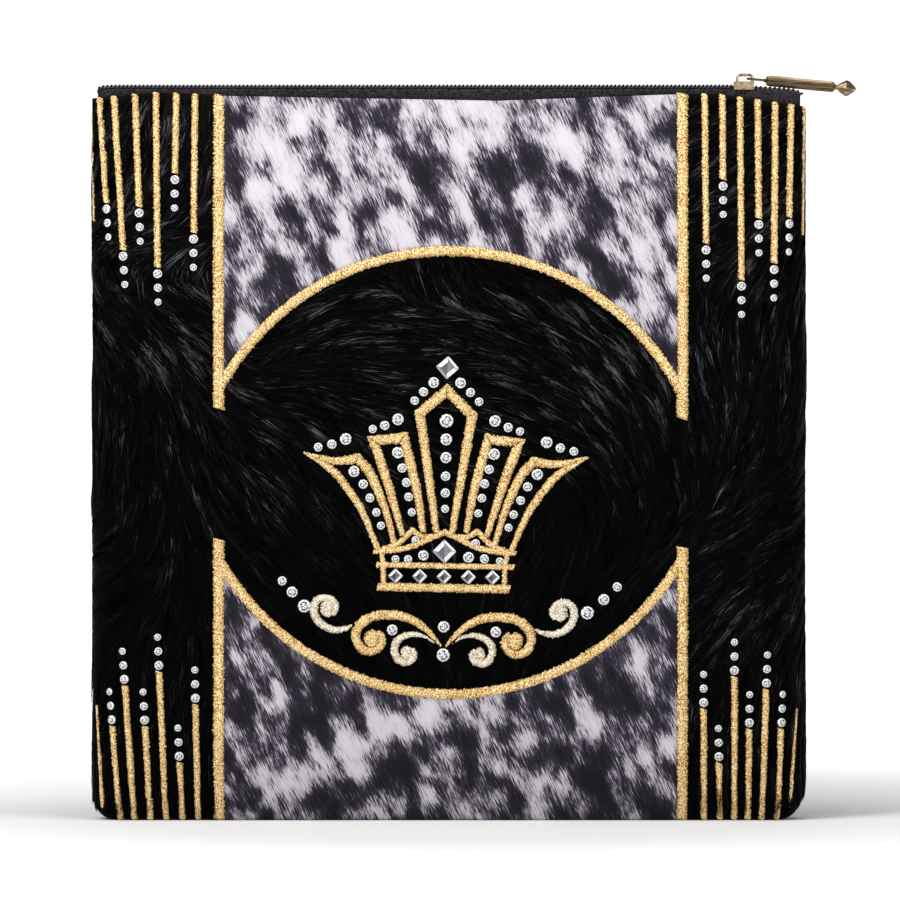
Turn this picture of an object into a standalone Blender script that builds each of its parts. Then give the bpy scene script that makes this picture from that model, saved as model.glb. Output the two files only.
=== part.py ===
"""Tallit bag: a flat zip pouch of black hide with gold satin-stitch ornament, crystals and a coil zip.

Metres, +Z up. The bag stands on its base and its front faces -Y, with +X to the right.
The origin is the middle of the base. A place on a wall is given by how far it lies along the cloth
from the middle line and by its height.
"""

import math
from collections import namedtuple

import bmesh
import bpy
from mathutils import Matrix, Vector

MM = 0.001
GAP = 0.3 * MM  # between pieces that touch on the real bag
MERGE = 0.001 * MM

# Pouch
HALF_WIDTH = 171 * MM
SEAM_LEVEL = 347 * MM
DEPTH_BASE = 12 * MM  # half depths: at the base, over the flat middle, and at the top seam
DEPTH_MIDDLE = 22 * MM
DEPTH_TOP = 7 * MM
MIDDLE_FROM = 70 * MM
MIDDLE_TO = 240 * MM
HIDE_THICK = 2.5 * MM
SEAM_LIP = 0.8 * MM
SIDE_STEPS = 4
FLAT_COLUMNS = 4

Corner = namedtuple("Corner", "rise run")
CORNERS = {-1: Corner(12 * MM, 9 * MM), 1: Corner(17.5 * MM, 11.2 * MM)}

# Height of the top seam, from the left end to the right one
Seam = namedtuple("Seam", "x height")
TOP_SEAM = (
    Seam(-171, 345.8),
    Seam(-141, 348.4),
    Seam(-105, 347.1),
    Seam(24, 344.8),
    Seam(105, 347.8),
    Seam(128, 347.8),
    Seam(171, 341.8),
)
WALL_ROWS = (0, 1.2, 3, 6, 11, 17.5, 30, 48, 70, 240, 264, 286, 305, 322, 336)  # mm

# Appliqué on the front wall
PRINT_THICK = 1.0 * MM
PRINT_COLUMNS = 16
PRINT_ROWS = 8
PRINT_CROWDING = 1.8  # a lower panel's rows crowd towards the rounded base
STITCH_THICK = 1.5 * MM
BORDER_WIDTH = 5.7 * MM
STRIPE_WIDTH = 3.4 * MM
EDGE_STRIPE_WIDTH = 2.4 * MM
STRIPE_LIFT = 1.5 * MM  # where a stripe's middle is seen, above the wall
TOP_MARGIN = 0.6 * MM
BASE_MARGIN = 1.3 * MM
BAR_LEFT = -110.6 * MM
BAR_RIGHT = 112.1 * MM

# Each border is a bar, an arc and a bar; the bars reach past the arc to these heights
Border = namedtuple("Border", "centre_x centre_z radius left_end right_end")
BORDER_UPPER = Border(0.2, 148.3, 124.8, 197.8, 193.0)
BORDER_LOWER = Border(0.5, 187.9, 127.2, 134.6, 130.8)
ARC_STEP = 6 * MM

# Stripes: x where a stripe leaves the edge, x and height where it ends, stones at its end
Stripe = namedtuple("Stripe", "x_edge x_end height stones")
STRIPES = {
    "top_left": (
        Stripe(-171.1, -170.0, 287.5, 0),
        Stripe(-167.9, -164.5, 296.2, 3),
        Stripe(-160.4, -156.1, 273.6, 3),
        Stripe(-150.3, -148.2, 294.2, 3),
        Stripe(-140.4, -139.2, 265.2, 3),
        Stripe(-130.6, -131.0, 310.1, 3),
        Stripe(-121.6, -122.0, 281.8, 3),
    ),
    "top_right": (
        Stripe(122.4, 122.8, 276.6, 3),
        Stripe(130.9, 131.0, 307.0, 3),
        Stripe(139.3, 139.7, 259.3, 3),
        Stripe(147.8, 148.0, 288.7, 3),
        Stripe(156.1, 155.6, 267.2, 3),
        Stripe(164.0, 163.2, 289.1, 3),
        Stripe(169.8, 168.9, 280.6, 0),
    ),
    "bottom_left": (
        Stripe(-166.6, -169.6, 54.8, 0),
        Stripe(-157.7, -161.6, 45.2, 3),
        Stripe(-150.7, -155.3, 64.7, 3),
        Stripe(-143.1, -145.4, 45.2, 3),
        Stripe(-135.6, -138.6, 71.4, 3),
        Stripe(-127.7, -128.9, 27.9, 3),
        Stripe(-120.1, -121.2, 55.7, 3),
    ),
    "bottom_right": (
        Stripe(122.1, 121.8, 53.6, 3),
        Stripe(129.8, 129.2, 27.7, 3),
        Stripe(136.6, 136.5, 69.0, 3),
        Stripe(143.2, 143.6, 43.9, 3),
        Stripe(149.7, 151.8, 62.9, 3),
        Stripe(157.4, 159.3, 43.9, 3),
        Stripe(163.6, 167.2, 53.2, 0),
    ),
}
EDGE_STRIPE_FOOT = 9.6 * MM  # the outermost bottom stripes start above the rounded corner

# Crystals past a stripe's end, the nearest first
Drop = namedtuple("Drop", "distance diameter")
STRIPE_STONES = (Drop(3.3, 4.3), Drop(10.0, 3.9), Drop(16.8, 3.4))

# Crown: the right half of a figure about its own axis, x to the right and z up from its base line
CROWN_X = -2.5 * MM
CROWN_Z = 111.4 * MM
CROWN_TILT = math.radians(0.95)
Stroke = namedtuple("Stroke", "width points mirrored")
CROWN_STROKES = (
    Stroke(3.5, ((-3.6, 26.6), (-14.6, 84.1), (0, 95.4), (14.6, 84.1), (3.6, 26.6)), False),
    Stroke(3.4, ((19.1, 24.7), (28.1, 53.6), (37.3, 71.0), (18.9, 73.1), (15.2, 57.2), (10.2, 26.4)), True),
    Stroke(3.4, ((31.5, 18.1), (35.9, 27.9), (41.8, 39.2), (50.1, 50.4), (66.5, 62.4)), True),
    Stroke(3.2, ((66.5, 62.4), (53.9, 60.2), (41.0, 62.8)), True),
    Stroke(3.4, ((40.4, 63.2), (34.7, 50.8), (30.0, 40.5), (23.5, 20.6)), True),
    Stroke(2.8, ((33.8, 17.3), (25.1, 20.3), (15.2, 27.6), (8.6, 24.4), (-1.0, 26.8)), True),
    Stroke(2.4, ((33.8, 16.6), (16.8, 19.0), (4.4, 25.1), (-1.0, 26.0)), True),
    Stroke(2.8, ((-33.0, 10.4), (33.0, 10.4)), False),
    Stroke(2.4, ((30.2, 17.6), (29.6, 10.0), (28.3, -0.2)), True),
    Stroke(2.9, ((-32.4, -0.1), (32.4, -0.1)), False),
)

# Crystals of the crown and scrolls in the same frames, each with its mirror image unless x is 0
Stone = namedtuple("Stone", "x z diameter")
CROWN_STONES = (
    Stone(6.7, 97.6, 5.2),
    Stone(11.4, 93.3, 4.4),
    Stone(15.9, 89.0, 4.1),
    Stone(23.4, 79.4, 5.6),
    Stone(29.6, 76.8, 4.5),
    Stone(35.0, 75.6, 4.0),
    Stone(48.4, 69.9, 5.6),
    Stone(54.8, 67.5, 4.5),
    Stone(61.2, 66.3, 4.2),
    Stone(23.4, 63.6, 5.6),
    Stone(21.2, 56.2, 4.5),
    Stone(19.0, 49.1, 4.4),
    Stone(17.6, 42.4, 4.2),
    Stone(16.4, 35.0, 3.9),
    Stone(44.3, 54.4, 5.4),
    Stone(39.7, 48.3, 4.5),
    Stone(36.2, 41.9, 4.3),
    Stone(33.2, 35.2, 4.1),
    Stone(30.9, 28.6, 3.7),
    Stone(25.0, 13.9, 3.5),
    Stone(18.2, 14.0, 3.6),
    Stone(10.6, 14.9, 4.6),
    Stone(14.7, 23.5, 3.0),
)
COLUMN_STONES = (
    Stone(0, 79.7, 6.6),
    Stone(0, 70.8, 5.7),
    Stone(0, 62.1, 5.4),
    Stone(0, 53.2, 4.6),
    Stone(0, 45.2, 4.5),
)
CROWN_MIDDLE_STONES = (Stone(0, 37.2, 3.9),)
# Square crystals: side length, turned so that a corner points up
TOP_SQUARE = Stone(0, 105.1, 7.2)
CENTRE_SQUARE = Stone(0, 17.2, 7.4)
BASE_SQUARES = (-23.2, -11.6, 0.0, 11.6, 23.2)
BASE_SQUARE_Z = 5.15
BASE_SQUARE_SIDE = 4.7
SQUARE_TURN = math.radians(45)
TOP_SQUARE_TURN = math.radians(40)

# Scrolls: centre line and width of the right half, then the round head that it curls into
SCROLL_X = -2.7 * MM
SCROLL_Z = 82.8 * MM
SCROLL_TILT = math.radians(1.2)
Band = namedtuple("Band", "x z width")
Head = namedtuple("Head", "x z diameter")
SCROLLS = {
    "gold": (
        (
            Band(1.3, 0.4, 1.1),
            Band(5.7, 5.6, 2.8),
            Band(11.8, 10.7, 3.9),
            Band(19.1, 13.9, 4.6),
            Band(26.8, 14.8, 4.7),
            Band(33.9, 13.7, 4.9),
            Band(38.6, 10.8, 4.9),
            Band(41.2, 6.8, 4.7),
            Band(41.4, 3.0, 4.7),
            Band(39.8, -0.3, 4.5),
            Band(36.2, -2.1, 4.3),
            Band(32.5, -1.3, 4.3),
            Band(30.0, 1.6, 4.3),
            Band(31.0, 5.0, 4.0),
        ),
        Head(34.2, 4.3, 7.2),
    ),
    "inner": (
        (
            Band(8.9, 3.6, 1.2),
            Band(12.0, 5.0, 2.2),
            Band(15.8, 5.6, 3.0),
            Band(20.4, 4.0, 3.5),
            Band(23.1, 1.0, 3.8),
            Band(23.7, -2.7, 4.0),
            Band(21.8, -6.0, 4.0),
            Band(18.1, -7.3, 4.0),
            Band(14.9, -5.2, 4.0),
        ),
        Head(17.0, -2.8, 6.4),
    ),
    "outer": (
        (
            Band(44.9, 8.4, 1.7),
            Band(47.8, 7.5, 2.7),
            Band(52.5, 7.4, 3.5),
            Band(57.4, 9.3, 3.8),
            Band(60.5, 12.5, 4.0),
            Band(61.3, 16.3, 4.0),
            Band(60.1, 19.8, 3.9),
            Band(56.7, 21.5, 3.6),
            Band(53.0, 20.2, 3.4),
        ),
        Head(55.0, 17.9, 8.2),
    ),
}
SCROLL_STONES = (
    Stone(80.4, 30.3, 4.4),
    Stone(74.9, 24.7, 5.3),
    Stone(68.3, 18.1, 6.2),
    Stone(24.6, 7.6, 5.2),
)
SCROLL_MIDDLE_STONES = (Stone(0, 9.6, 5.6), Stone(0, -3.9, 6.4))

# Cut crystals, as shares of the diameter
STONE_TABLE = 0.52
STONE_CROWN = 0.30
STONE_GIRDLE = 0.10
STONE_SIDES = 6
MAIN_STONE_SIDES = 12
STONE_SINK = 0.8 * MM  # how deep a glued crystal goes into the hide
SQUARE_CUT = 0.16  # share of a square's side that its cut corners take

# Zip
TAPE_THICK = 1.0 * MM
TAPE_FOOT = 336 * MM
TAPE_END = 165 * MM
TAPE_COLUMNS = 10
COIL_HALF_WIDTH = 2.6 * MM
COIL_HEIGHT = 2.6 * MM
COIL_EDGE = 0.7 * MM
ZIP_LEVEL = 350.4 * MM  # top edge of the tape along the closed stretch
Rail = namedtuple("Rail", "x height")
COIL_CLOSED = (Rail(-168, 350.6), Rail(-163, 352.2), Rail(-150, 352.4), Rail(142.6, 352.4))
COIL_OPEN = (Rail(145.4, 351.7), Rail(153, 351.3), Rail(160, 350.6), Rail(168, 349.2))
TAPE_TOP = (Rail(-171, 349.4), Rail(-160, 350.4), Rail(140, 350.4), Rail(155, 349.7), Rail(171, 346.6))

SLIDER_FROM = 136.5 * MM
SLIDER_TO = 146.3 * MM
SLIDER_HALF_WIDTH = 5.0 * MM
SLIDER_TOP_LOW = 352.75 * MM
SLIDER_TOP_HIGH = 353.9 * MM
FLANGE_LOW = 350.0 * MM
FLANGE_THICK = 0.6 * MM
KEEL_LOW = 348.5 * MM
KEEL_HIGH = 349.45 * MM
KEEL_HALF_WIDTH = 2.3 * MM
KEEL_TO = 144.8 * MM
POST_X = 144.0 * MM
POST_SIZE = 1.1 * MM
SLIDER_INSET = 0.15 * MM
BAIL_LEFT = 138.2 * MM
BAIL_RIGHT = 145.4 * MM
BAIL_TOP = 357.0 * MM
BAIL_CORNER = 1.5 * MM
BAIL_WIRE = 0.7 * MM

# Puller: it turns about a crossbar under the bail and rests sloping down to the right
PIVOT = Vector((143.2 * MM, 0, 355.2 * MM))
PULL_SLOPE = math.radians(5.5)
LINK_WIRE = 0.6 * MM
LINK_LENGTH = 8.0 * MM
LINK_HALF_WIDTH = 2.0 * MM
BAR_FROM = 8.9 * MM
BAR_TO = 42.0 * MM
BAR_HEIGHT = 5.2 * MM
BAR_DEPTH = 4.4 * MM
BAR_EDGE = 0.9 * MM
NECK_RADIUS = 1.3 * MM
NECK_TO = 45.0 * MM
FINIAL_FROM = 43.6 * MM
FINIAL_TO = 52.2 * MM
FINIAL_HALF_HEIGHT = 3.9 * MM
FINIAL_HALF_DEPTH = 2.6 * MM


def collection(name):
    """Makes a collection in the scene."""
    made = bpy.data.collections.new(name)
    bpy.context.scene.collection.children.link(made)
    return made


def clear_scene():
    for old in list(bpy.data.objects):
        bpy.data.objects.remove(old)


def material(name, colour, roughness, metallic=0.0, transmission=0.0):
    """A Principled BSDF with one colour."""
    made = bpy.data.materials.new(name)
    made.use_nodes = True
    shader = made.node_tree.nodes["Principled BSDF"]
    shader.inputs["Base Color"].default_value = (*colour, 1)
    shader.inputs["Roughness"].default_value = roughness
    shader.inputs["Metallic"].default_value = metallic
    shader.inputs["Transmission Weight"].default_value = transmission
    made.diffuse_color = (*colour, 1)
    return made


def interpolated(rows, x):
    """Reads a table of (x, height) rows, both in mm, at a place in metres."""
    x = x / MM
    for first, second in zip(rows, rows[1:]):
        if x <= second[0]:
            share = max(0.0, (x - first[0]) / (second[0] - first[0]))
            return (first[1] + share * (second[1] - first[1])) * MM
    return rows[-1][1] * MM


def half_depth(z):
    """Half the bag's depth at a height: a lens that closes to the zip and rounds under to the base."""
    if z > MIDDLE_TO:
        rise = (z - MIDDLE_TO) / (SEAM_LEVEL - MIDDLE_TO)
        return DEPTH_MIDDLE - (DEPTH_MIDDLE - DEPTH_TOP) * rise**2
    drop = max(0.0, (MIDDLE_FROM - z) / MIDDLE_FROM)
    return DEPTH_MIDDLE - (DEPTH_MIDDLE - DEPTH_BASE) * drop**4


def half_width(z, side):
    """Half the bag's width at a height, on the left (-1) or the right (1), with its rounded lower corner."""
    corner = CORNERS[side]
    drop = max(0.0, 1 - z / corner.rise)
    return HALF_WIDTH - corner.run * (1 - math.sqrt(1 - drop**2))


def along(x, z, lift):
    """How far along the cloth a place lies that stands lift above it and is seen from the front at x."""
    side = 1 if x > 0 else -1
    depth = half_depth(z)
    flat = half_width(z, side) - depth
    if abs(x) <= flat:
        return x
    return side * (flat + depth * math.asin((abs(x) - flat) / (depth + lift)))


def on_wall(s, z, lift=0.0):
    """The point of the front wall s along the cloth from the middle, raised by lift."""
    side = 1 if s > 0 else -1
    depth = half_depth(z)
    flat = half_width(z, side) - depth
    if abs(s) <= flat:
        return Vector((s, -depth - lift, z))
    turn = (abs(s) - flat) / depth
    return Vector((side * (flat + (depth + lift) * math.sin(turn)), -(depth + lift) * math.cos(turn), z))


def wall_turn(s, z):
    """How far the wall has turned from facing the front, towards +X."""
    side = 1 if s > 0 else -1
    depth = half_depth(z)
    return side * max(0.0, abs(s) - half_width(z, side) + depth) / depth


def heights_between(low, high):
    """The heights of the wall's rows between two heights, with both ends."""
    return [low] + [row * MM for row in WALL_ROWS if low + MM < row * MM < high - MM] + [high]


def add_object(name, mesh, finish, home):
    made = bpy.data.objects.new(name, mesh)
    mesh.materials.append(finish)
    home.objects.link(made)
    return made


def grid_mesh(name, rows, outward):
    """An open sheet through rows of points, its faces turned towards outward."""
    shape = bmesh.new()
    grid = [[shape.verts.new(point) for point in row] for row in rows]
    for low, high in zip(grid, grid[1:]):
        for i in range(len(low) - 1):
            shape.faces.new((low[i], low[i + 1], high[i + 1], high[i]))
    bmesh.ops.remove_doubles(shape, verts=shape.verts, dist=MERGE)
    shape.normal_update()
    facing = sum((face.normal * face.calc_area() for face in shape.faces), Vector())
    if facing.dot(outward) < 0:
        bmesh.ops.reverse_faces(shape, faces=shape.faces)
    mesh = bpy.data.meshes.new(name)
    shape.to_mesh(mesh)
    shape.free()
    return mesh


def sheet(name, rows, outward, thickness, inward, finish, home):
    """A sheet with a wall, grown inwards or outwards from the surface through the rows."""
    made = add_object(name, grid_mesh(name, rows, outward), finish, home)
    wall = made.modifiers.new("Wall", "SOLIDIFY")
    wall.thickness = thickness
    wall.offset = -1 if inward else 1
    return made


def as_guide(piece):
    """Marks an object as a guide or a cutter, which is no part of the bag."""
    piece.hide_render = True
    piece.display_type = "WIRE"


def fuse(piece, guides):
    """Joins a piece with the objects of a collection."""
    union = piece.modifiers.new("Fuse", "BOOLEAN")
    union.operation = "UNION"
    union.solver = "EXACT"
    union.operand_type = "COLLECTION"
    union.collection = guides
    for guide in guides.objects:
        as_guide(guide)


def new_guides(name, cutters):
    made = bpy.data.collections.new(name)
    cutters.children.link(made)
    return made


def seam_height(x):
    return interpolated(TOP_SEAM, x)


def wall_columns(z, side):
    """How far along the cloth the wall's columns stand, from the middle to the side seam."""
    depth = half_depth(z)
    flat = half_width(z, side) - depth
    seam = GAP / 2
    turns = [math.pi / 2 * i / (SIDE_STEPS + 1) for i in range(SIDE_STEPS + 1)]
    turns += [math.acos((seam + SEAM_LIP) / depth), math.acos(seam / depth)]
    inner = [flat * i / FLAT_COLUMNS for i in range(1 if side > 0 else 0, FLAT_COLUMNS)]
    return [side * s for s in inner + [flat + depth * turn for turn in turns]]


def wall_row(z):
    """One row of the front wall, from the left seam to the right one."""
    return [on_wall(s, z) for s in wall_columns(z, -1)[::-1] + wall_columns(z, 1)]


def top_row():
    """The wall's top row, which follows the seam."""
    heights = [seam_height(point.x) for point in wall_row(SEAM_LEVEL)]
    return [wall_row(z)[i] for i, z in enumerate(heights)]


def panel(name, facing, finish, home):
    """The front wall (facing -1) or the back one (facing 1), open towards the other, with its half of the base."""
    base = wall_row(0.0)
    rows = [[Vector((p.x, max(p.y, -GAP / 2 - lip), 0)) for p in base] for lip in (0, SEAM_LIP)]
    rows += [wall_row(row * MM) for row in WALL_ROWS]
    rows.append(top_row())
    if facing > 0:
        rows = [[Vector((p.x, -p.y, p.z)) for p in row] for row in rows]
    return sheet(name, rows, Vector((0, facing, 0)), HIDE_THICK, True, finish, home)


def ribbon_rows(path, place, lift=GAP):
    """The two edges of a band of stitching: path holds (x, z, width), and place carries it to the wall."""
    points = [Vector((x, z)) for x, z, _ in path]
    rows = []
    for i, (x, z, width) in enumerate(path):
        before = (points[i] - points[i - 1]).normalized() if i else None
        after = (points[i + 1] - points[i]).normalized() if i + 1 < len(path) else None
        before, after = before or after, after or before
        middle = (before + after).normalized()
        side = Vector((-middle.y, middle.x))
        reach = width / 2 / max(0.62, middle.dot(after))
        rows.append([place(*(points[i] + side * reach * sign), lift) for sign in (-1, 1)])
    return rows


def ribbon(name, path, place, thickness, finish, home):
    """A raised band of satin stitch along a path."""
    return sheet(name, ribbon_rows(path, place), Vector((0, -1, 0)), thickness, False, finish, home)


def local_place(x0, z0, tilt):
    """Carries a figure's own x and z, in mm, to the wall, with the figure turned clockwise by tilt."""

    def place(x, z, lift):
        x, z = x * MM, z * MM
        s = x0 + x * math.cos(tilt) + z * math.sin(tilt)
        return on_wall(s, z0 - x * math.sin(tilt) + z * math.cos(tilt), lift)

    return place


crown_place = local_place(CROWN_X, CROWN_Z, CROWN_TILT)
scroll_place = local_place(SCROLL_X, SCROLL_Z, SCROLL_TILT)


def border(name, plan, upper, finish, home, cutters):
    """A bar down each side of a print panel and the arc between them, fused."""
    up = 1 if upper else -1
    guides = new_guides(name + " strokes", cutters)

    def bar(label, x, end, where):
        edge = seam_height(x) - TOP_MARGIN if upper else BASE_MARGIN
        low, high = sorted((end * MM, edge))
        path = [(x, z, BORDER_WIDTH) for z in heights_between(low, high)]
        return ribbon(label, path, on_wall, STITCH_THICK, finish, where)

    made = bar(name, BAR_LEFT, plan.left_end, home)
    bar(name + " right bar", BAR_RIGHT, plan.right_end, guides)
    cx, cz, radius = plan.centre_x * MM, plan.centre_z * MM, plan.radius * MM
    first = math.acos((BAR_LEFT - cx) / radius)
    last = math.acos((BAR_RIGHT - cx) / radius)
    steps = round(radius * (first - last) / ARC_STEP)
    path = []
    for i in range(steps + 1):
        angle = first + (last - first) * i / steps
        path.append((cx + radius * math.cos(angle), cz + up * radius * math.sin(angle), BORDER_WIDTH))
    ribbon(name + " arc", path, on_wall, STITCH_THICK, finish, guides)
    fuse(made, guides)
    return made


def print_panel(name, plan, upper, finish, home):
    """The printed hide between a border's bars, from its arc to the bag's edge."""
    inset = BORDER_WIDTH / 2 + 1.5 * GAP
    up = 1 if upper else -1
    cx, cz, radius = plan.centre_x * MM, plan.centre_z * MM, plan.radius * MM + inset
    first = math.acos((BAR_LEFT + inset - cx) / radius)
    last = math.acos((BAR_RIGHT - inset - cx) / radius)
    rows = []
    for j in range(PRINT_ROWS + 1):
        row = []
        for i in range(PRINT_COLUMNS + 1):
            angle = first + (last - first) * i / PRINT_COLUMNS
            x = cx + radius * math.cos(angle)
            arc = cz + up * radius * math.sin(angle)
            edge = seam_height(x) - TOP_MARGIN if upper else BASE_MARGIN
            share = 1 - (1 - j / PRINT_ROWS) ** (1 if upper else PRINT_CROWDING)
            row.append(on_wall(x, arc + (edge - arc) * share, GAP))
        rows.append(row)
    return sheet(name, rows, Vector((0, -1, 0)), PRINT_THICK, False, finish, home)


def stripe_path(corner, stripe):
    """A stripe's path from the bag's edge to its end, as (along the cloth, height)."""
    end = stripe.height * MM
    if corner.startswith("top"):
        edge = seam_height(stripe.x_edge * MM) - TOP_MARGIN
    else:
        edge = BASE_MARGIN if stripe.stones else EDGE_STRIPE_FOOT
    heights = heights_between(min(edge, end), max(edge, end))
    path = []
    for z in heights:
        share = (z - edge) / (end - edge)
        x = (stripe.x_edge + share * (stripe.x_end - stripe.x_edge)) * MM
        path.append((along(x, z, STRIPE_LIFT), z))
    return path if end > edge else path[::-1]


def stripe(name, corner, plan, finish, home):
    width = STRIPE_WIDTH if plan.stones else EDGE_STRIPE_WIDTH
    path = [(s, z, width) for s, z in stripe_path(corner, plan)]
    return ribbon(name, path, on_wall, STITCH_THICK, finish, home)


def stripe_stones(corner, plan):
    """The crystals past a stripe's end, in line with it, as (along the cloth, height, diameter)."""
    path = stripe_path(corner, plan)
    end, before = Vector(path[-1]), Vector(path[-2])
    way = (end - before).normalized()
    for drop in STRIPE_STONES[: plan.stones]:
        place = end + way * drop.distance * MM
        yield place.x, place.y, drop.diameter * MM


def mirrored(stones, middle):
    """Both copies of each crystal of a symmetric figure, then those on its axis."""
    for stone in stones:
        yield stone
        yield Stone(-stone.x, stone.z, stone.diameter)
    yield from middle


def glued_stones():
    """Every small crystal on the front wall, as (along the cloth, height, diameter)."""
    for corner, plans in STRIPES.items():
        for plan in plans:
            yield from stripe_stones(corner, plan)
    for place, stones in (
        (crown_place, mirrored(CROWN_STONES, CROWN_MIDDLE_STONES)),
        (scroll_place, mirrored(SCROLL_STONES, SCROLL_MIDDLE_STONES)),
    ):
        for stone in stones:
            point = place(stone.x, stone.z, 0)
            yield point.x, point.z, stone.diameter * MM


def facing_wall(s, z, lift):
    """A frame on the wall whose own +Z leaves the wall."""
    turn = Matrix.Rotation(wall_turn(s, z), 4, "Z")
    return Matrix.Translation(on_wall(s, z, lift)) @ turn @ Matrix.Rotation(math.pi / 2, 4, "X")


def stud_field(home):
    """The small crystals: six-sided tables with six facets that reach down into the hide."""
    shape = bmesh.new()
    for s, z, diameter in glued_stones():
        girdle, table = diameter / 2, diameter / 2 * STONE_TABLE
        height = diameter * STONE_CROWN
        foot = girdle + (girdle - table) * STONE_SINK / height
        bmesh.ops.create_cone(
            shape,
            cap_ends=True,
            segments=STONE_SIDES,
            radius1=foot,
            radius2=table,
            depth=height + STONE_SINK,
            matrix=facing_wall(s, z, (height - STONE_SINK) / 2),
        )
    mesh = bpy.data.meshes.new("studs")
    shape.to_mesh(mesh)
    shape.free()
    made = bpy.data.objects.new("studs", mesh)
    home.objects.link(made)
    return made


def cut_stone(name, outline, height, place, finish, home):
    """A flat-backed crystal with a girdle and a table, from its outline in mm."""
    shape = bmesh.new()
    girdle = STONE_GIRDLE * height / (STONE_GIRDLE + STONE_CROWN)
    levels = [(0, 1), (girdle, 1), (height, STONE_TABLE)]
    rings = [[shape.verts.new((x * share, y * share, z)) for x, y in outline] for z, share in levels]
    for low, high in zip(rings, rings[1:]):
        for i in range(len(outline)):
            j = (i + 1) % len(outline)
            shape.faces.new((low[i], low[j], high[j], high[i]))
    shape.faces.new(rings[0][::-1])
    shape.faces.new(rings[-1])
    shape.transform(place)
    mesh = bpy.data.meshes.new(name)
    shape.to_mesh(mesh)
    shape.free()
    return add_object(name, mesh, finish, home)


def round_outline(diameter, sides):
    angles = [2 * math.pi * (i + 0.5) / sides for i in range(sides)]
    return [(diameter / 2 * math.cos(a), diameter / 2 * math.sin(a)) for a in angles]


def square_outline(side, turn):
    """A square with cut corners, turned about its middle."""
    half, cut = side / 2, side * (0.5 - SQUARE_CUT)
    corners = [(half, -cut), (half, cut), (cut, half), (-cut, half)]
    corners += [(-x, -y) for x, y in corners]
    return [(x * math.cos(turn) - y * math.sin(turn), x * math.sin(turn) + y * math.cos(turn)) for x, y in corners]


def main_stones(finish, home):
    """The squares and the crown's middle column, each a piece of its own."""

    def set_stone(name, stone, outline):
        point = crown_place(stone.x, stone.z, 0)
        height = stone.diameter * (STONE_CROWN + STONE_GIRDLE) * MM
        cut_stone(name, outline, height, facing_wall(point.x, point.z, GAP), finish, home)

    for i, stone in enumerate(COLUMN_STONES, 1):
        set_stone(f"crystal_column_{i}", stone, round_outline(stone.diameter * MM, MAIN_STONE_SIDES))
    set_stone("crystal_top", TOP_SQUARE, square_outline(TOP_SQUARE.diameter * MM, TOP_SQUARE_TURN))
    set_stone("crystal_centre", CENTRE_SQUARE, square_outline(CENTRE_SQUARE.diameter * MM, SQUARE_TURN))
    for i, x in enumerate(BASE_SQUARES, 1):
        stone = Stone(x, BASE_SQUARE_Z, BASE_SQUARE_SIDE)
        set_stone(f"crystal_base_{i}", stone, square_outline(stone.diameter * MM, SQUARE_TURN))


def crown(finish, home, cutters):
    """The crown's strokes, fused into one piece of embroidery."""
    guides = new_guides("crown strokes", cutters)
    made = None
    for i, stroke in enumerate(CROWN_STROKES):
        for sign in (1, -1) if stroke.mirrored else (1,):
            path = [(sign * x, z, stroke.width) for x, z in stroke.points]
            name = f"crown stroke {i} {sign}" if made else "crown"
            piece = ribbon(name, path, crown_place, STITCH_THICK, finish, guides if made else home)
            made = made or piece
    fuse(made, guides)
    return made


def scroll(name, kind, sign, finish, home, cutters):
    """A band that swells from a fine tail and curls into a round head."""
    bands, head = SCROLLS[kind]
    guides = new_guides(name + " head", cutters)
    path = [(sign * band.x, band.z, band.width) for band in bands]
    made = ribbon(name, path, scroll_place, STITCH_THICK, finish, home)
    centre = scroll_place(sign * head.x, head.z, GAP + STITCH_THICK / 2)
    shape = bmesh.new()
    bmesh.ops.create_cone(
        shape,
        cap_ends=True,
        segments=14,
        radius1=head.diameter / 2 * MM,
        radius2=head.diameter / 2 * MM,
        depth=STITCH_THICK,
        matrix=Matrix.Translation(centre) @ Matrix.Rotation(math.pi / 2, 4, "X"),
    )
    mesh = bpy.data.meshes.new(name + " head")
    shape.to_mesh(mesh)
    shape.free()
    add_object(name + " head", mesh, finish, guides)
    fuse(made, guides)
    return made


def inner_wall(x, z):
    """How far the inside of a wall stands from the middle plane."""
    side = 1 if x > 0 else -1
    depth = half_depth(z)
    past = max(0.0, abs(x) - half_width(z, side) + depth)
    return math.sqrt((depth - HIDE_THICK) ** 2 - past**2)


def zip_tape(name, facing, finish, home):
    """A tape that is sewn inside the wall's top edge and leans in to the coil."""
    rows = []
    for share in (0.0, 0.5, 1.0, 2.0):
        row = []
        for i in range(TAPE_COLUMNS + 1):
            x = TAPE_END * (2 * i / TAPE_COLUMNS - 1)
            rim = seam_height(x)
            z = TAPE_FOOT + share * (rim - TAPE_FOOT)
            y = inner_wall(x, z) - GAP if share <= 1 else 0
            if share > 1:
                z = interpolated(TAPE_TOP, x)
                y = COIL_HALF_WIDTH + GAP + TAPE_THICK
            row.append(Vector((x, facing * y, z)))
        rows.append(row)
    return sheet(name, rows, Vector((0, facing, 0)), TAPE_THICK, True, finish, home)


def coil(name, rails, finish, home):
    """A stretch of zip coil as a flat rounded strip, given by its top edge."""
    half = COIL_HALF_WIDTH
    rows = [
        [Vector((x * MM, y, z * MM - COIL_HEIGHT)) for x, z in rails]
        for y in (-half, half)
    ]
    made = sheet(name, rows, Vector((0, 0, 1)), COIL_HEIGHT, False, finish, home)
    edge = made.modifiers.new("Edge", "BEVEL")
    edge.width = COIL_EDGE
    edge.segments = 2
    edge.limit_method = "ANGLE"
    return made


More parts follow.
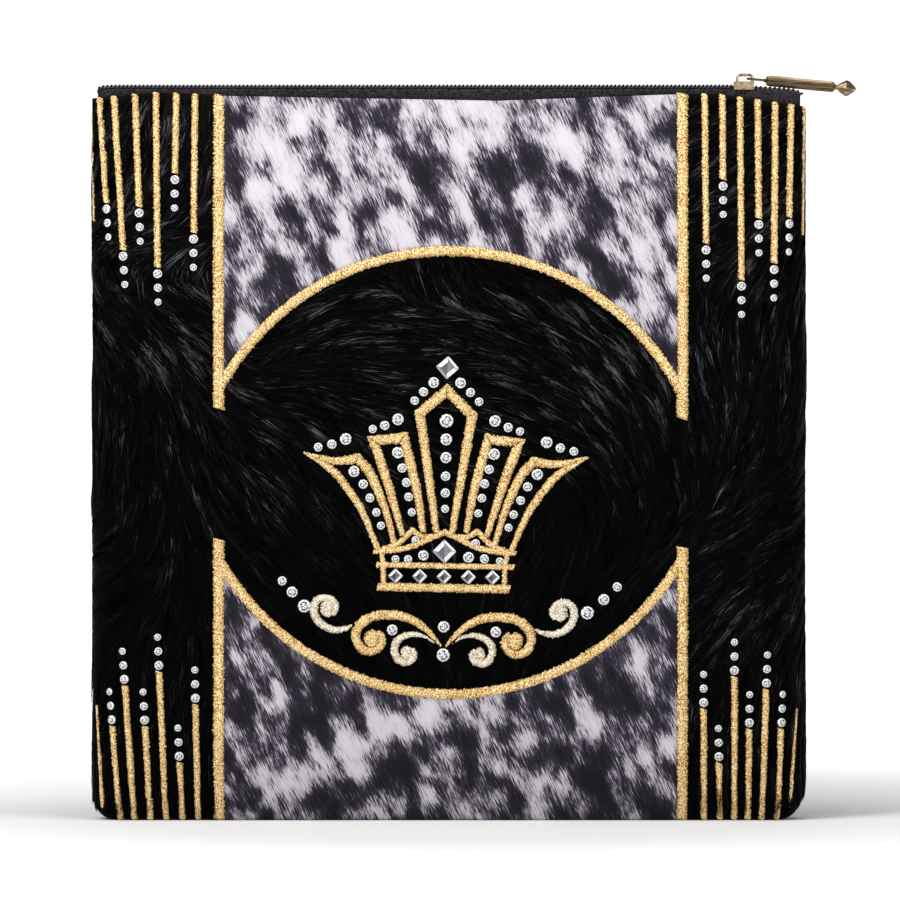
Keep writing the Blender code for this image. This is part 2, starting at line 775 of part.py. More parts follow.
def box_mesh(name, low, high):
    """A box between two corners."""
    shape = bmesh.new()
    bmesh.ops.create_cube(shape, size=1)
    size = [b - a for a, b in zip(low, high)]
    bmesh.ops.scale(shape, vec=size, verts=shape.verts)
    bmesh.ops.translate(shape, vec=[(a + b) / 2 for a, b in zip(low, high)], verts=shape.verts)
    mesh = bpy.data.meshes.new(name)
    shape.to_mesh(mesh)
    shape.free()
    return mesh


def wire(name, points, radius, closed, finish, home):
    """A bent wire as a mesh, its caps welded."""
    curve = bpy.data.curves.new(name, "CURVE")
    curve.dimensions = "3D"
    curve.bevel_depth = radius
    curve.bevel_resolution = 2
    curve.use_fill_caps = True
    line = curve.splines.new("POLY")
    line.points.add(len(points) - 1)
    for knot, place in zip(line.points, points):
        knot.co = (*place, 1)
    line.use_cyclic_u = closed
    source = bpy.data.objects.new(name + " curve", curve)
    home.objects.link(source)
    graph = bpy.context.evaluated_depsgraph_get()
    mesh = bpy.data.meshes.new_from_object(source.evaluated_get(graph))
    bpy.data.objects.remove(source)
    shape = bmesh.new()
    shape.from_mesh(mesh)
    bmesh.ops.remove_doubles(shape, verts=shape.verts, dist=MERGE)
    bmesh.ops.recalc_face_normals(shape, faces=shape.faces)
    shape.to_mesh(mesh)
    shape.free()
    mesh.materials.clear()
    return add_object(name, mesh, finish, home)


def rounded_route(corners, radius, steps):
    """A polyline in 3D with its inner corners rounded."""
    route = [corners[0]]
    for before, corner, after in zip(corners, corners[1:], corners[2:]):
        a = (before - corner).normalized()
        b = (after - corner).normalized()
        start, end = corner + a * radius, corner + b * radius
        for i in range(steps + 1):
            t = i / steps
            route.append(start * (1 - t) ** 2 + corner * 2 * t * (1 - t) + end * t**2)
    return route + [corners[-1]]


def zip_slider(finish, home, cutters):
    """The slider's plate, its flanges outside the tapes, the keel inside, the post and the bail."""
    width, keel = SLIDER_HALF_WIDTH, KEEL_HALF_WIDTH
    guides = new_guides("slider parts", cutters)
    plate = box_mesh(
        "zip_slider", (SLIDER_FROM, -width, SLIDER_TOP_LOW), (SLIDER_TO, width, SLIDER_TOP_HIGH)
    )
    made = add_object("zip_slider", plate, finish, home)
    inset, sunk = SLIDER_INSET, SLIDER_TOP_HIGH - SLIDER_INSET
    parts = []
    for side in (-1, 1):
        near, far = sorted((side * (width - inset), side * (width - inset - FLANGE_THICK)))
        parts.append(((SLIDER_FROM + inset, near, FLANGE_LOW), (SLIDER_TO - inset, far, sunk)))
    parts.append(((SLIDER_FROM + inset, -keel, KEEL_LOW), (KEEL_TO, keel, KEEL_HIGH)))
    post = POST_SIZE / 2
    parts.append(((POST_X - post, -post, KEEL_LOW + inset), (POST_X + post, post, sunk)))
    for i, (low, high) in enumerate(parts):
        add_object(f"slider part {i}", box_mesh(f"slider part {i}", low, high), finish, guides)
    foot = SLIDER_TOP_LOW + 2 * inset
    corners = [(BAIL_LEFT, foot), (BAIL_LEFT, BAIL_TOP), (BAIL_RIGHT, BAIL_TOP), (BAIL_RIGHT, foot)]
    route = rounded_route([Vector((x, 0, z)) for x, z in corners], BAIL_CORNER, 4)
    wire("bail", route, BAIL_WIRE, False, finish, guides)
    fuse(made, guides)
    return made


def pull_frame():
    """The puller's own frame: +X along it, away from the pivot."""
    return Matrix.Translation(PIVOT) @ Matrix.Rotation(PULL_SLOPE, 4, "Y")


def pull_link(finish, home):
    """The wire eye that passes under the bail and holds the bar."""
    half, length = LINK_HALF_WIDTH, LINK_LENGTH
    corners = [(0, -half), (length, -half), (length, half), (0, half)]
    frame = pull_frame()
    points = []
    for i, (x, y) in enumerate(corners):
        before, after = corners[i - 1], corners[(i + 1) % 4]
        for other in (before, after):
            way = Vector((other[0] - x, other[1] - y, 0)).normalized()
            points.append(frame @ (Vector((x, y, 0)) + way * 0.7 * LINK_WIRE))
    return wire("pull_link", points, LINK_WIRE, True, finish, home)


def pull_bar(finish, home, cutters):
    """The faceted bar with a neck and a pointed finial."""
    guides = new_guides("bar parts", cutters)
    frame = pull_frame()
    half_height, half_deep = BAR_HEIGHT / 2, BAR_DEPTH / 2
    mesh = box_mesh("pull_bar", (BAR_FROM, -half_deep, -half_height), (BAR_TO, half_deep, half_height))
    shape = bmesh.new()
    shape.from_mesh(mesh)
    bmesh.ops.bevel(shape, geom=shape.edges, offset=BAR_EDGE, segments=1, affect="EDGES")
    shape.transform(frame)
    shape.to_mesh(mesh)
    shape.free()
    made = add_object("pull_bar", mesh, finish, home)
    along_bar = Matrix.Rotation(math.pi / 2, 4, "Y")
    neck = bmesh.new()
    bmesh.ops.create_cone(
        neck,
        cap_ends=True,
        segments=10,
        radius1=NECK_RADIUS,
        radius2=NECK_RADIUS,
        depth=NECK_TO - BAR_TO + 2 * BAR_EDGE,
        matrix=frame @ Matrix.Translation(((BAR_TO + NECK_TO) / 2 - BAR_EDGE, 0, 0)) @ along_bar,
    )
    bmesh.ops.create_uvsphere(
        neck,
        u_segments=8,
        v_segments=4,
        radius=1,
        matrix=frame
        @ Matrix.Translation(((FINIAL_FROM + FINIAL_TO) / 2, 0, 0))
        @ Matrix.Diagonal(((FINIAL_TO - FINIAL_FROM) / 2, FINIAL_HALF_DEPTH, FINIAL_HALF_HEIGHT, 1))
        @ along_bar,
    )
    parts = bpy.data.meshes.new("bar parts")
    neck.to_mesh(parts)
    neck.free()
    add_object("bar parts", parts, finish, guides)
    fuse(made, guides)
    made.modifiers["Fuse"].use_self = True
    return made


def build():
    clear_scene()
    bag = collection("tallit_bag")
    cutters = collection("cutters")
    hide = material("black hide", (0.008, 0.0075, 0.008), 0.62)
    lining = material("black backing", (0.010, 0.010, 0.011), 0.7)
    printed = material("printed hide", (0.45, 0.42, 0.46), 0.55)
    gold = material("gold thread", (0.72, 0.44, 0.10), 0.42)
    cream = material("cream thread", (0.68, 0.60, 0.44), 0.45)
    crystal = material("crystal", (0.86, 0.88, 0.92), 0.05, transmission=0.4)
    tape = material("zip tape", (0.016, 0.014, 0.016), 0.75)
    teeth = material("zip coil", (0.010, 0.009, 0.011), 0.35)
    brass = material("antique brass", (0.34, 0.25, 0.15), 0.38, metallic=1.0)

    front = panel("front_panel", -1, hide, bag)
    studs = new_guides("glued crystals", cutters)
    stud_field(studs)
    fuse(front, studs)
    panel("back_panel", 1, lining, bag)
    for name, plan, upper in (("upper", BORDER_UPPER, True), ("lower", BORDER_LOWER, False)):
        print_panel(f"print_panel_{name}", plan, upper, printed, bag)
        border(f"border_{name}", plan, upper, gold, bag, cutters)
    for corner, plans in STRIPES.items():
        for i, plan in enumerate(plans, 1):
            stripe(f"stripe_{corner}_{i}", corner, plan, gold, bag)
    crown(gold, bag, cutters)
    for side, sign in (("left", -1), ("right", 1)):
        for kind, thread in (("outer", cream), ("gold", gold), ("inner", cream)):
            scroll(f"scroll_{side}_{kind}", kind, sign, thread, bag, cutters)
    main_stones(crystal, bag)
    zip_tape("zip_tape_front", -1, tape, bag)
    zip_tape("zip_tape_back", 1, tape, bag)
    coil("zip_coil", COIL_CLOSED, teeth, bag)
    coil("zip_coil_end", COIL_OPEN, teeth, bag)
    zip_slider(brass, bag, cutters)
    pull_link(brass, bag)
    pull_bar(brass, bag, cutters)


build()
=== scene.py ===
"""Looks of the tallit bag: pile, printed hide, satin stitch, crystals and zip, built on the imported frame.

Metres, +Z up. The bag stands on its base, its front faces -Y and +X is to the right. A place on the
front wall is given by how far it lies along the cloth from the middle line (s) and by its height (z).
"""

import logging
import math
from dataclasses import dataclass, field, replace
from enum import Enum

import bmesh
import bpy
import numpy as np
from mathutils import Matrix, Vector

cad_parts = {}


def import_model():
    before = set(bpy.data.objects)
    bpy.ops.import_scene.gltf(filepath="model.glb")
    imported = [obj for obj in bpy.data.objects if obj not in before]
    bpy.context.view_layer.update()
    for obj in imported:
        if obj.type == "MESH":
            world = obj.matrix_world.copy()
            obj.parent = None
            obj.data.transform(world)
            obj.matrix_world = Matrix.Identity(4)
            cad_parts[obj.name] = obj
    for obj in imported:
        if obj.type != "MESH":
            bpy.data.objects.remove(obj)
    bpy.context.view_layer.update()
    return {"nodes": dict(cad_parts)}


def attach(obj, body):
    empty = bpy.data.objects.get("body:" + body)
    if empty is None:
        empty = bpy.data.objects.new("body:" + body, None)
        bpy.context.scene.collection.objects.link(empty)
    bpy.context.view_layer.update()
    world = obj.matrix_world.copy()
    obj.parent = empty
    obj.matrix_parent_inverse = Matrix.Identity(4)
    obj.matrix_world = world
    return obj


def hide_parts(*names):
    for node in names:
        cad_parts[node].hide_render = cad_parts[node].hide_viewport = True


Material, Mesh, Object = bpy.types.Material, bpy.types.Mesh, bpy.types.Object
Node, Socket, Tree = bpy.types.Node, bpy.types.NodeSocket, bpy.types.NodeTree

SHADER = "Principled BSDF"
MM = 0.001
GAP = 0.3 * MM
log = logging.getLogger("tallit_bag")


def linear(colour: str) -> tuple[float, float, float, float]:
    """Turns an sRGB hex colour to linear light.

    Args:
        colour: six hex digits after a hash.

    Returns:
        Red, green, blue and an alpha of 1.
    """
    shares = [int(colour[i : i + 2], 16) / 255 for i in (1, 3, 5)]
    light = [c / 12.92 if c <= 0.04045 else ((c + 0.055) / 1.055) ** 2.4 for c in shares]
    return (light[0], light[1], light[2], 1.0)


def add_node(tree: Tree, kind: str, inputs: dict | None = None, **settings) -> Node:
    """Adds a node to a tree.

    Args:
        tree: the tree that gets the node.
        kind: the node's type name.
        inputs: a value or a linked output socket for each input, by name or index.
        settings: the node's own properties.

    Returns:
        The new node.
    """
    node = tree.nodes.new(kind)
    for name, value in settings.items():
        setattr(node, name, value)
    for key, value in (inputs or {}).items():
        if isinstance(value, Socket):
            tree.links.new(value, node.inputs[key])
        else:
            node.inputs[key].default_value = value
    return node


def ramp(tree: Tree, factor: Socket, stops: list[tuple[float, str]]) -> Socket:
    """Adds a colour ramp.

    Args:
        tree: the material's tree.
        factor: the socket that drives it.
        stops: pairs of a place from 0 to 1 and an sRGB hex colour.

    Returns:
        The ramp's colour socket.
    """
    node = add_node(tree, "ShaderNodeValToRGB", {"Fac": factor})
    elements = node.color_ramp.elements
    while len(elements) < len(stops):
        elements.new(1.0)
    for element, (place, colour) in zip(elements, stops):
        element.position = place
        element.color = linear(colour)
    return node.outputs["Color"]


def unit(rows: np.ndarray) -> np.ndarray:
    """Rows of directions brought to unit length."""
    return rows / np.linalg.norm(rows, axis=-1, keepdims=True)


def profile(table: tuple, x: np.ndarray) -> np.ndarray:
    """The heights, in m, that a table of x and height in mm gives for places in m."""
    return np.interp(x / MM, [row[0] for row in table], [row[1] for row in table]) * MM


# Finishes


@dataclass(frozen=True)
class Finish:
    """A finish with its name and the socket values that are the same all over it."""

    name: str
    roughness: float = 0.5
    sockets: dict = field(default_factory=dict)

    def make(self) -> Material:
        """Builds the material: its plain values first, then the nodes of its kind."""
        material = bpy.data.materials.new(self.name)
        material.use_nodes = True
        shader = material.node_tree.nodes[SHADER]
        shader.inputs["Roughness"].default_value = self.roughness
        for name, value in self.sockets.items():
            shader.inputs[name].default_value = value
        self.dress(material.node_tree)
        return material

    def once(self) -> Material:
        """The material, built the first time that it is asked for."""
        return bpy.data.materials.get(self.name) or self.make()

    def dress(self, tree: Tree) -> None:
        """Adds the nodes that make this kind of finish; each kind has its own."""
        raise NotImplementedError

    def noise(self, tree: Tree, place: Socket, **inputs: float) -> Socket:
        """A noise on those coordinates, its inputs by name."""
        return add_node(tree, "ShaderNodeTexNoise", {"Vector": place, **inputs}).outputs["Fac"]

    def place(self, tree: Tree) -> Socket:
        """The object's own coordinates."""
        return add_node(tree, "ShaderNodeTexCoord").outputs["Object"]

    def attribute(self, tree: Tree, name: str) -> Socket:
        """An attribute of the mesh, as a value."""
        return add_node(tree, "ShaderNodeAttribute", attribute_name=name).outputs["Fac"]

    def colour_by(self, tree: Tree, factor: Socket, stops: list[tuple[float, str]]) -> None:
        """Colours the shader through a ramp."""
        tree.links.new(ramp(tree, factor, stops), tree.nodes[SHADER].inputs["Base Color"])

    def raise_by(self, tree: Tree, height: Socket, depth: float, strength: float, invert: bool = False) -> None:
        """Gives the shader a relief of that depth in m."""
        inputs = {"Height": height, "Distance": depth, "Strength": strength}
        bump = add_node(tree, "ShaderNodeBump", inputs, invert=invert)
        tree.links.new(bump.outputs["Normal"], tree.nodes[SHADER].inputs["Normal"])



@dataclass(frozen=True)
class CombedPile(Finish):
    """Short dyed-black pile, pressed in combed locks: almost black, with grey highlights painted along the hairs."""

    deep: str = "#010101"
    low: str = "#040304"
    mid: str = "#292729"
    light: str = "#5B595E"

    def dress(self, tree: Tree) -> None:
        """Paints a grey highlight on a hair where its painted highlight strength (its shade) is high, full in the
        hair's middle and faint at its root.
        """
        shade, along = self.attribute(tree, "shade"), self.attribute(tree, "along")
        # Painted highlight: the hair's shade times its 'along' marks, which fade the highlight towards the root.
        lit = add_node(tree, "ShaderNodeMath", {0: shade, 1: along}, operation="MULTIPLY").outputs["Value"]
        self.colour_by(tree, lit, [(0.0, self.deep), (0.25, self.low), (0.55, self.mid), (1.0, self.light)])


@dataclass(frozen=True)
class ShornHide(Finish):
    """The hide that the pile grows from: black, matt, with a 1.5 mm nap."""

    colour: str = "#020202"
    light: str = "#070607"
    nap_mm: float = 1.5
    depth_mm: float = 0.25

    def dress(self, tree: Tree) -> None:
        """Adds a fine noise in colour and height."""
        nap = self.noise(tree, self.place(tree), Scale=1000 / self.nap_mm, Detail=4.0, Roughness=0.6)
        self.colour_by(tree, nap, [(0.3, self.colour), (0.8, self.light)])
        self.raise_by(tree, nap, self.depth_mm * MM, 0.9)


@dataclass(frozen=True)
class PrintedHide(Finish):
    """Brushed cloth printed as dappled cowhide: dark blotches whose edges break up into hairs."""

    top: str = "#D0CBD0"
    white: str = "#C0BBC1"
    grey: str = "#8A8491"
    dark: str = "#3D3845"
    deep: str = "#17141C"
    lean: float = math.radians(24)
    blotch_mm: float = 30.0
    hair_length_mm: float = 9.0
    hair_width_mm: float = 0.8
    middle: float = 0.8
    shift: tuple[float, float, float] = (0.0, 0.0, 0.0)

    def dress(self, tree: Tree) -> None:
        """Adds the print: blotches by a threshold on a slow noise that a streaky one frays."""
        inputs = {"Vector": self.place(tree), "Rotation": (0.0, self.lean, 0.0), "Location": self.shift}
        turned = add_node(tree, "ShaderNodeMapping", inputs).outputs["Vector"]

        def cells(wide: float, long: float, detail: float, roughness: float) -> Socket:
            """A noise in cells of that width and length in mm, along the turned coordinates."""
            scale = {0: turned, 1: (1000 / wide, 0.0, 1000 / long)}
            place = add_node(tree, "ShaderNodeVectorMath", scale, operation="MULTIPLY").outputs["Vector"]
            return self.noise(tree, place, Scale=1.0, Detail=detail, Roughness=roughness)

        def mixed(operation: str, first: Socket | float, second: Socket | float) -> Socket:
            """Two values through one Math node."""
            return add_node(tree, "ShaderNodeMath", {0: first, 1: second}, operation=operation).outputs["Value"]

        slow = cells(self.blotch_mm * 0.95, self.blotch_mm * 1.3, 2.0, 0.5)
        patch = cells(self.blotch_mm * 0.34, self.blotch_mm * 0.64, 1.5, 0.5)
        hairs = cells(self.hair_width_mm, self.hair_length_mm, 3.0, 0.6)
        fine = cells(self.hair_width_mm * 0.5, self.hair_length_mm * 0.5, 2.0, 0.6)
        body = mixed("ADD", mixed("MULTIPLY", slow, 0.6), mixed("MULTIPLY", patch, 0.62))
        frayed = mixed("ADD", body, mixed("MULTIPLY", hairs, 0.36))
        frayed = mixed("ADD", frayed, mixed("MULTIPLY", fine, 0.24))
        stops = [(0.0, self.deep), (0.22, "#221E28"), (0.42, self.dark), (0.52, self.grey), (0.66, self.white)]
        stops.append((1.0, self.top))
        centred = mixed("ADD", mixed("MULTIPLY", mixed("SUBTRACT", frayed, self.middle), 2.8), 0.5)
        self.colour_by(tree, centred, stops)
        self.raise_by(tree, fine, 0.1 * MM, 0.5)


@dataclass(frozen=True)
class SatinThread(Finish):
    """Rayon embroidery thread laid side by side: a soft shine across each thread."""

    shadow: str = "#8F5F22"
    mid: str = "#E4B86A"
    light: str = "#FFECB8"
    fleck_mm: float = 0.6
    fleck_contrast: float = 5.0
    edge_shade: float = -0.45
    brightness: float = 0.12

    def dress(self, tree: Tree) -> None:
        """Paints light and dark flecks on the thread as painted glints, and darkens it towards the band's edges as
        painted shade where the rounded band turns from the light.
        """
        flecks = self.noise(tree, self.place(tree), Scale=1000 / self.fleck_mm, Detail=1.5)
        shade, edge = self.attribute(tree, "shade"), self.attribute(tree, "along")

        def sum_of(value: Socket, times: float, other: Socket | float) -> Socket:
            """A value times a factor, plus another."""
            inputs = {0: value, 1: times, 2: other}
            return add_node(tree, "ShaderNodeMath", inputs, operation="MULTIPLY_ADD").outputs["Value"]

        # Painted shade towards the band's edges and painted glints from the flecks, over each thread's own tone.
        tone = sum_of(edge, self.edge_shade, sum_of(flecks, self.fleck_contrast, shade))
        centred = sum_of(tone, 1.0, self.brightness - self.fleck_contrast / 2)
        self.colour_by(tree, centred, [(0.0, self.shadow), (0.5, self.mid), (1.0, self.light)])
        self.raise_by(tree, flecks, 0.07 * MM, 0.8)


@dataclass(frozen=True)
class FoiledCrystal(Finish):
    """Cut glass with a silver foil behind it: each facet is painted bright or dark, as a painted reflection of the
    foil.
    """

    dark: str = "#121317"
    mid: str = "#858A94"
    light: str = "#FFFFFF"

    def dress(self, tree: Tree) -> None:
        """Paints each facet's reflection in the tone that its attribute says."""
        stops = [(0.0, self.dark), (0.5, self.mid), (1.0, self.light)]
        self.colour_by(tree, self.attribute(tree, "tone"), stops)


@dataclass(frozen=True)
class WovenTape(Finish):
    """Polyester zip tape: charcoal, mottled by its close weave of 0.9 mm."""

    colour: str = "#060508"
    light: str = "#3C383D"
    weave_mm: float = 0.9

    def dress(self, tree: Tree) -> None:
        """Adds the weave as a close noise."""
        weave = self.noise(tree, self.place(tree), Scale=1000 / self.weave_mm, Detail=2.0, Roughness=0.6)
        self.colour_by(tree, weave, [(0.36, self.colour), (0.68, self.light)])
        self.raise_by(tree, weave, 0.2 * MM, 1.0)


@dataclass(frozen=True)
class NylonCoil(Finish):
    """Polyester monofilament teeth: black, moulded smooth and glossy."""

    colour: str = "#050406"
    light: str = "#100E12"

    def dress(self, tree: Tree) -> None:
        """Adds a slight drift of tone."""
        drift = self.noise(tree, self.place(tree), Scale=300.0, Detail=2.0)
        self.colour_by(tree, drift, [(0.3, self.colour), (0.8, self.light)])


@dataclass(frozen=True)
class AntiqueBrass(Finish):
    """Plated and relieved brass: brown in the recesses, rubbed bright on the edges."""

    recess: str = "#3B3024"
    body: str = "#79664F"
    rubbed: str = "#B49D7C"
    drawn: tuple[float, float, float] = (0.12, 1.0, 1.0)

    def dress(self, tree: Tree) -> None:
        """Adds a stain of colour and height."""
        inputs = {0: self.place(tree), 1: self.drawn}
        drawn = add_node(tree, "ShaderNodeVectorMath", inputs, operation="MULTIPLY").outputs["Vector"]
        stain = self.noise(tree, drawn, Scale=700.0, Detail=3.0)
        self.colour_by(tree, stain, [(0.2, self.recess), (0.5, self.body), (0.85, self.rubbed)])
        self.raise_by(tree, stain, 0.05 * MM, 0.4)


@dataclass(frozen=True)
class GrainedBacking(Finish):
    """Soft coated leather of the back: black with a pebble grain of about 1.6 mm."""

    colour: str = "#070607"
    light: str = "#1E1C1F"
    pebble_mm: float = 1.6

    def dress(self, tree: Tree) -> None:
        """Adds the grain: cells with creases between them, as real relief, with the creases painted darker than the
        pebbles' tops as painted shade.
        """
        inputs = {"Vector": self.place(tree), "Scale": 1000 / self.pebble_mm}
        cells = add_node(tree, "ShaderNodeTexVoronoi", inputs, feature="SMOOTH_F1").outputs["Distance"]
        # Painted shade: lighter on the pebbles' tops, darker in the creases between them.
        self.colour_by(tree, cells, [(0.1, self.light), (0.7, self.colour)])
        self.raise_by(tree, cells, 0.6 * MM, 1.0, invert=True)


@dataclass(frozen=True)
class GlowingFloor(Finish):
    """A pale floor whose own light grows with the distance from the bag, until it is as white as the sky."""

    glow: tuple[float, float] = (0.16, 0.9)

    def dress(self, tree: Tree) -> None:
        """Adds the light, from none at the nearer distance to all of it at the farther one."""
        away = add_node(tree, "ShaderNodeVectorMath", {0: self.place(tree)}, operation="LENGTH").outputs["Value"]
        near, far = self.glow
        glow = add_node(tree, "ShaderNodeMapRange", {"Value": away, "From Min": near, "From Max": far})
        shader = tree.nodes[SHADER]
        tree.links.new(glow.outputs["Result"], shader.inputs["Emission Strength"])
        shader.inputs["Emission Color"].default_value = linear("#FFFFFF")


class Thread(Enum):
    """The two embroidery threads."""

    GOLD = SatinThread("gold rayon thread", 0.42, {"Specular IOR Level": 0.4})
    CREAM = SatinThread("cream rayon thread", 0.42, {"Specular IOR Level": 0.4}, "#A08E70", "#E4D8BC", "#FFF8EA")


# The pouch's shape


@dataclass(frozen=True)
class PouchForm:
    """The front wall's surface, as in the CAD source, with a slight slackness of the cloth."""

    half_width_mid: float = 171 * MM
    seam_level: float = 347 * MM
    depth_base: float = 12 * MM
    depth_middle: float = 22 * MM
    depth_top: float = 7 * MM
    middle_from: float = 70 * MM
    middle_to: float = 240 * MM
    corner_rise: tuple[float, float] = (12 * MM, 17.5 * MM)
    corner_run: tuple[float, float] = (9 * MM, 11.2 * MM)
    corner_spill: float = 0.7 * MM
    slack: float = 0.7 * MM
    slack_to: float = 0.165
    seam: tuple = ((-171, 345.8), (-141, 348.4), (-105, 347.1), (24, 344.8), (105, 347.8), (128, 347.8), (171, 341.8))

    def half_depth(self, z: np.ndarray) -> np.ndarray:
        """Half the bag's depth at a height."""
        rise = np.clip((z - self.middle_to) / (self.seam_level - self.middle_to), 0, None)
        drop = np.clip((self.middle_from - z) / self.middle_from, 0, 1)
        upper = self.depth_middle - (self.depth_middle - self.depth_top) * rise**2
        lower = self.depth_middle - (self.depth_middle - self.depth_base) * drop**4
        return np.where(z > self.middle_to, upper, lower)

    def corner(self, s: np.ndarray) -> tuple[np.ndarray, np.ndarray]:
        """How high and how wide the rounded lower corner is on the side of s."""
        rise = np.where(s > 0, self.corner_rise[1], self.corner_rise[0])
        return rise, np.where(s > 0, self.corner_run[1], self.corner_run[0])

    def half_width(self, s: np.ndarray, z: np.ndarray) -> np.ndarray:
        """Half the bag's width at a height, on the side of s, with its rounded lower corner."""
        rise, run = self.corner(s)
        drop = np.clip(1 - z / rise, 0, 1)
        return self.half_width_mid - run * (1 - np.sqrt(1 - drop**2))

    def corner_floor(self, s: np.ndarray, z: np.ndarray) -> np.ndarray:
        """The height of the rounded lower corner's edge under places, where a falling hair has to end."""
        rise, run = self.corner(s)
        inside = self.half_width_mid + self.corner_spill - np.abs(self.place(s, z)[:, 0])
        return rise * (1 - np.sqrt(1 - np.clip(1 - inside / run, 0, 1) ** 2))

    def seam_height(self, x: np.ndarray) -> np.ndarray:
        """The top seam's height."""
        return profile(self.seam, x)

    def hollow(self, s: np.ndarray, z: np.ndarray) -> np.ndarray:
        """How far the slack cloth lies inside the CAD's surface."""
        wave = np.sin(s / (31 * MM) + 1.3) * np.cos(z / (43 * MM) + 0.4) + 0.6 * np.sin((s + z) / (19 * MM))
        away = np.clip((self.seam_level - z) / (45 * MM), 0, 1) * np.clip(z / (35 * MM), 0, 1)
        side = np.clip((self.slack_to - np.abs(s)) / (30 * MM), 0, 1)
        return self.slack * (0.5 + 0.31 * wave) * away * side

    def place(self, s: np.ndarray, z: np.ndarray, lift: float | np.ndarray = 0.0) -> np.ndarray:
        """The points of the front wall.

        Args:
            s: how far they lie along the cloth from the middle line.
            z: their heights.
            lift: how far they stand off the wall.

        Returns:
            One row of x, y, z for each.
        """
        s, z = np.asarray(s, float), np.asarray(z, float)
        depth = self.half_depth(z)
        flat = self.half_width(s, z) - depth
        turn = np.clip((np.abs(s) - flat) / depth, 0, None)
        reach = depth + lift - self.hollow(s, z)
        x = np.where(turn > 0, np.sign(s) * (flat + reach * np.sin(turn)), s)
        return np.stack([x, -reach * np.cos(turn), z + 0 * s], axis=-1)

    def along(self, x: np.ndarray, z: np.ndarray, lift: float) -> np.ndarray:
        """How far along the cloth places lie that are seen from the front at x and stand off by lift."""
        depth = self.half_depth(z)
        flat = self.half_width(x, z) - depth
        past = np.clip((np.abs(x) - flat) / (depth + lift), 0, 1)
        return np.where(np.abs(x) > flat, np.sign(x) * (flat + depth * np.arcsin(past)), x)

    def frame(self, s: np.ndarray, z: np.ndarray) -> tuple[np.ndarray, np.ndarray, np.ndarray]:
        """The wall's own directions.

        Args:
            s: how far the places lie along the cloth.
            z: their heights.

        Returns:
            Unit rows along the cloth, up the cloth and outwards.
        """
        step = 0.2 * MM
        sideways = self.place(s + step, z) - self.place(s - step, z)
        upwards = self.place(s, z + step) - self.place(s, z - step)
        sideways, upwards = unit(sideways), unit(upwards)
        return sideways, upwards, unit(np.cross(sideways, upwards))


POUCH = PouchForm()


@dataclass(frozen=True)
class Figure:
    """A figure drawn flat in mm about its own middle, then set on the wall and turned."""

    x: float
    z: float
    tilt: float

    def spread(self, points: np.ndarray) -> np.ndarray:
        """Carries rows of the figure's x and z, in mm, to how far along the cloth and how high they lie."""
        points = np.asarray(points, float) * MM
        c, s = math.cos(self.tilt), math.sin(self.tilt)
        along = self.x + points[:, 0] * c + points[:, 1] * s
        return np.stack([along, self.z - points[:, 0] * s + points[:, 1] * c], axis=-1)

    def band(self, rows: np.ndarray) -> np.ndarray:
        """Carries rows of the figure's x, z and width, in mm, to rows of along, height and width."""
        return np.column_stack([self.spread(rows[:, :2]), rows[:, 2] * MM])


CROWN_FIGURE = Figure(-2.5 * MM, 112.0 * MM, math.radians(0.95))
SCROLL_FIGURE = Figure(-2.7 * MM, 83.6 * MM, math.radians(1.2))


# Where the ornament lies, in mm, as in the CAD source


class Corner(Enum):
    """The corners with stripes: rows of x at the bag's edge, x and height at the end, and stones past it."""

    TOP_LEFT = (
        (-172.2, -171, 287.5, 0), (-167.9, -164.5, 296.2, 3), (-160.4, -156.1, 273.6, 3),
        (-150.3, -148.2, 294.2, 3), (-140.4, -139.2, 265.2, 3), (-130.6, -131, 310.1, 3),
        (-121.6, -122, 281.8, 3),
    )
    TOP_RIGHT = (
        (122.4, 122.8, 276.6, 3), (130.9, 131, 307, 3), (139.3, 139.7, 259.3, 3),
        (147.8, 148, 288.7, 3), (156.1, 155.6, 267.2, 3), (164, 163.2, 289.1, 3),
        (170.9, 170.2, 280.6, 0),
    )
    BOTTOM_LEFT = (
        (-166.6, -169.6, 54.8, 0), (-157.7, -161.6, 45.2, 3), (-150.7, -155.3, 64.7, 3),
        (-143.1, -145.4, 45.2, 3), (-135.6, -138.6, 71.4, 3), (-127.7, -128.9, 27.9, 3),
        (-120.1, -121.2, 55.7, 3),
    )
    BOTTOM_RIGHT = (
        (122.1, 121.8, 53.6, 3), (129.8, 129.2, 27.7, 3), (136.6, 136.5, 69, 3),
        (143.2, 143.6, 43.9, 3), (149.7, 151.8, 62.9, 3), (157.4, 159.3, 43.9, 3),
        (163.6, 167.2, 53.2, 0),
    )


STRIPE_STONES = ((3.3, 4.3), (10.0, 3.9), (16.8, 3.4))

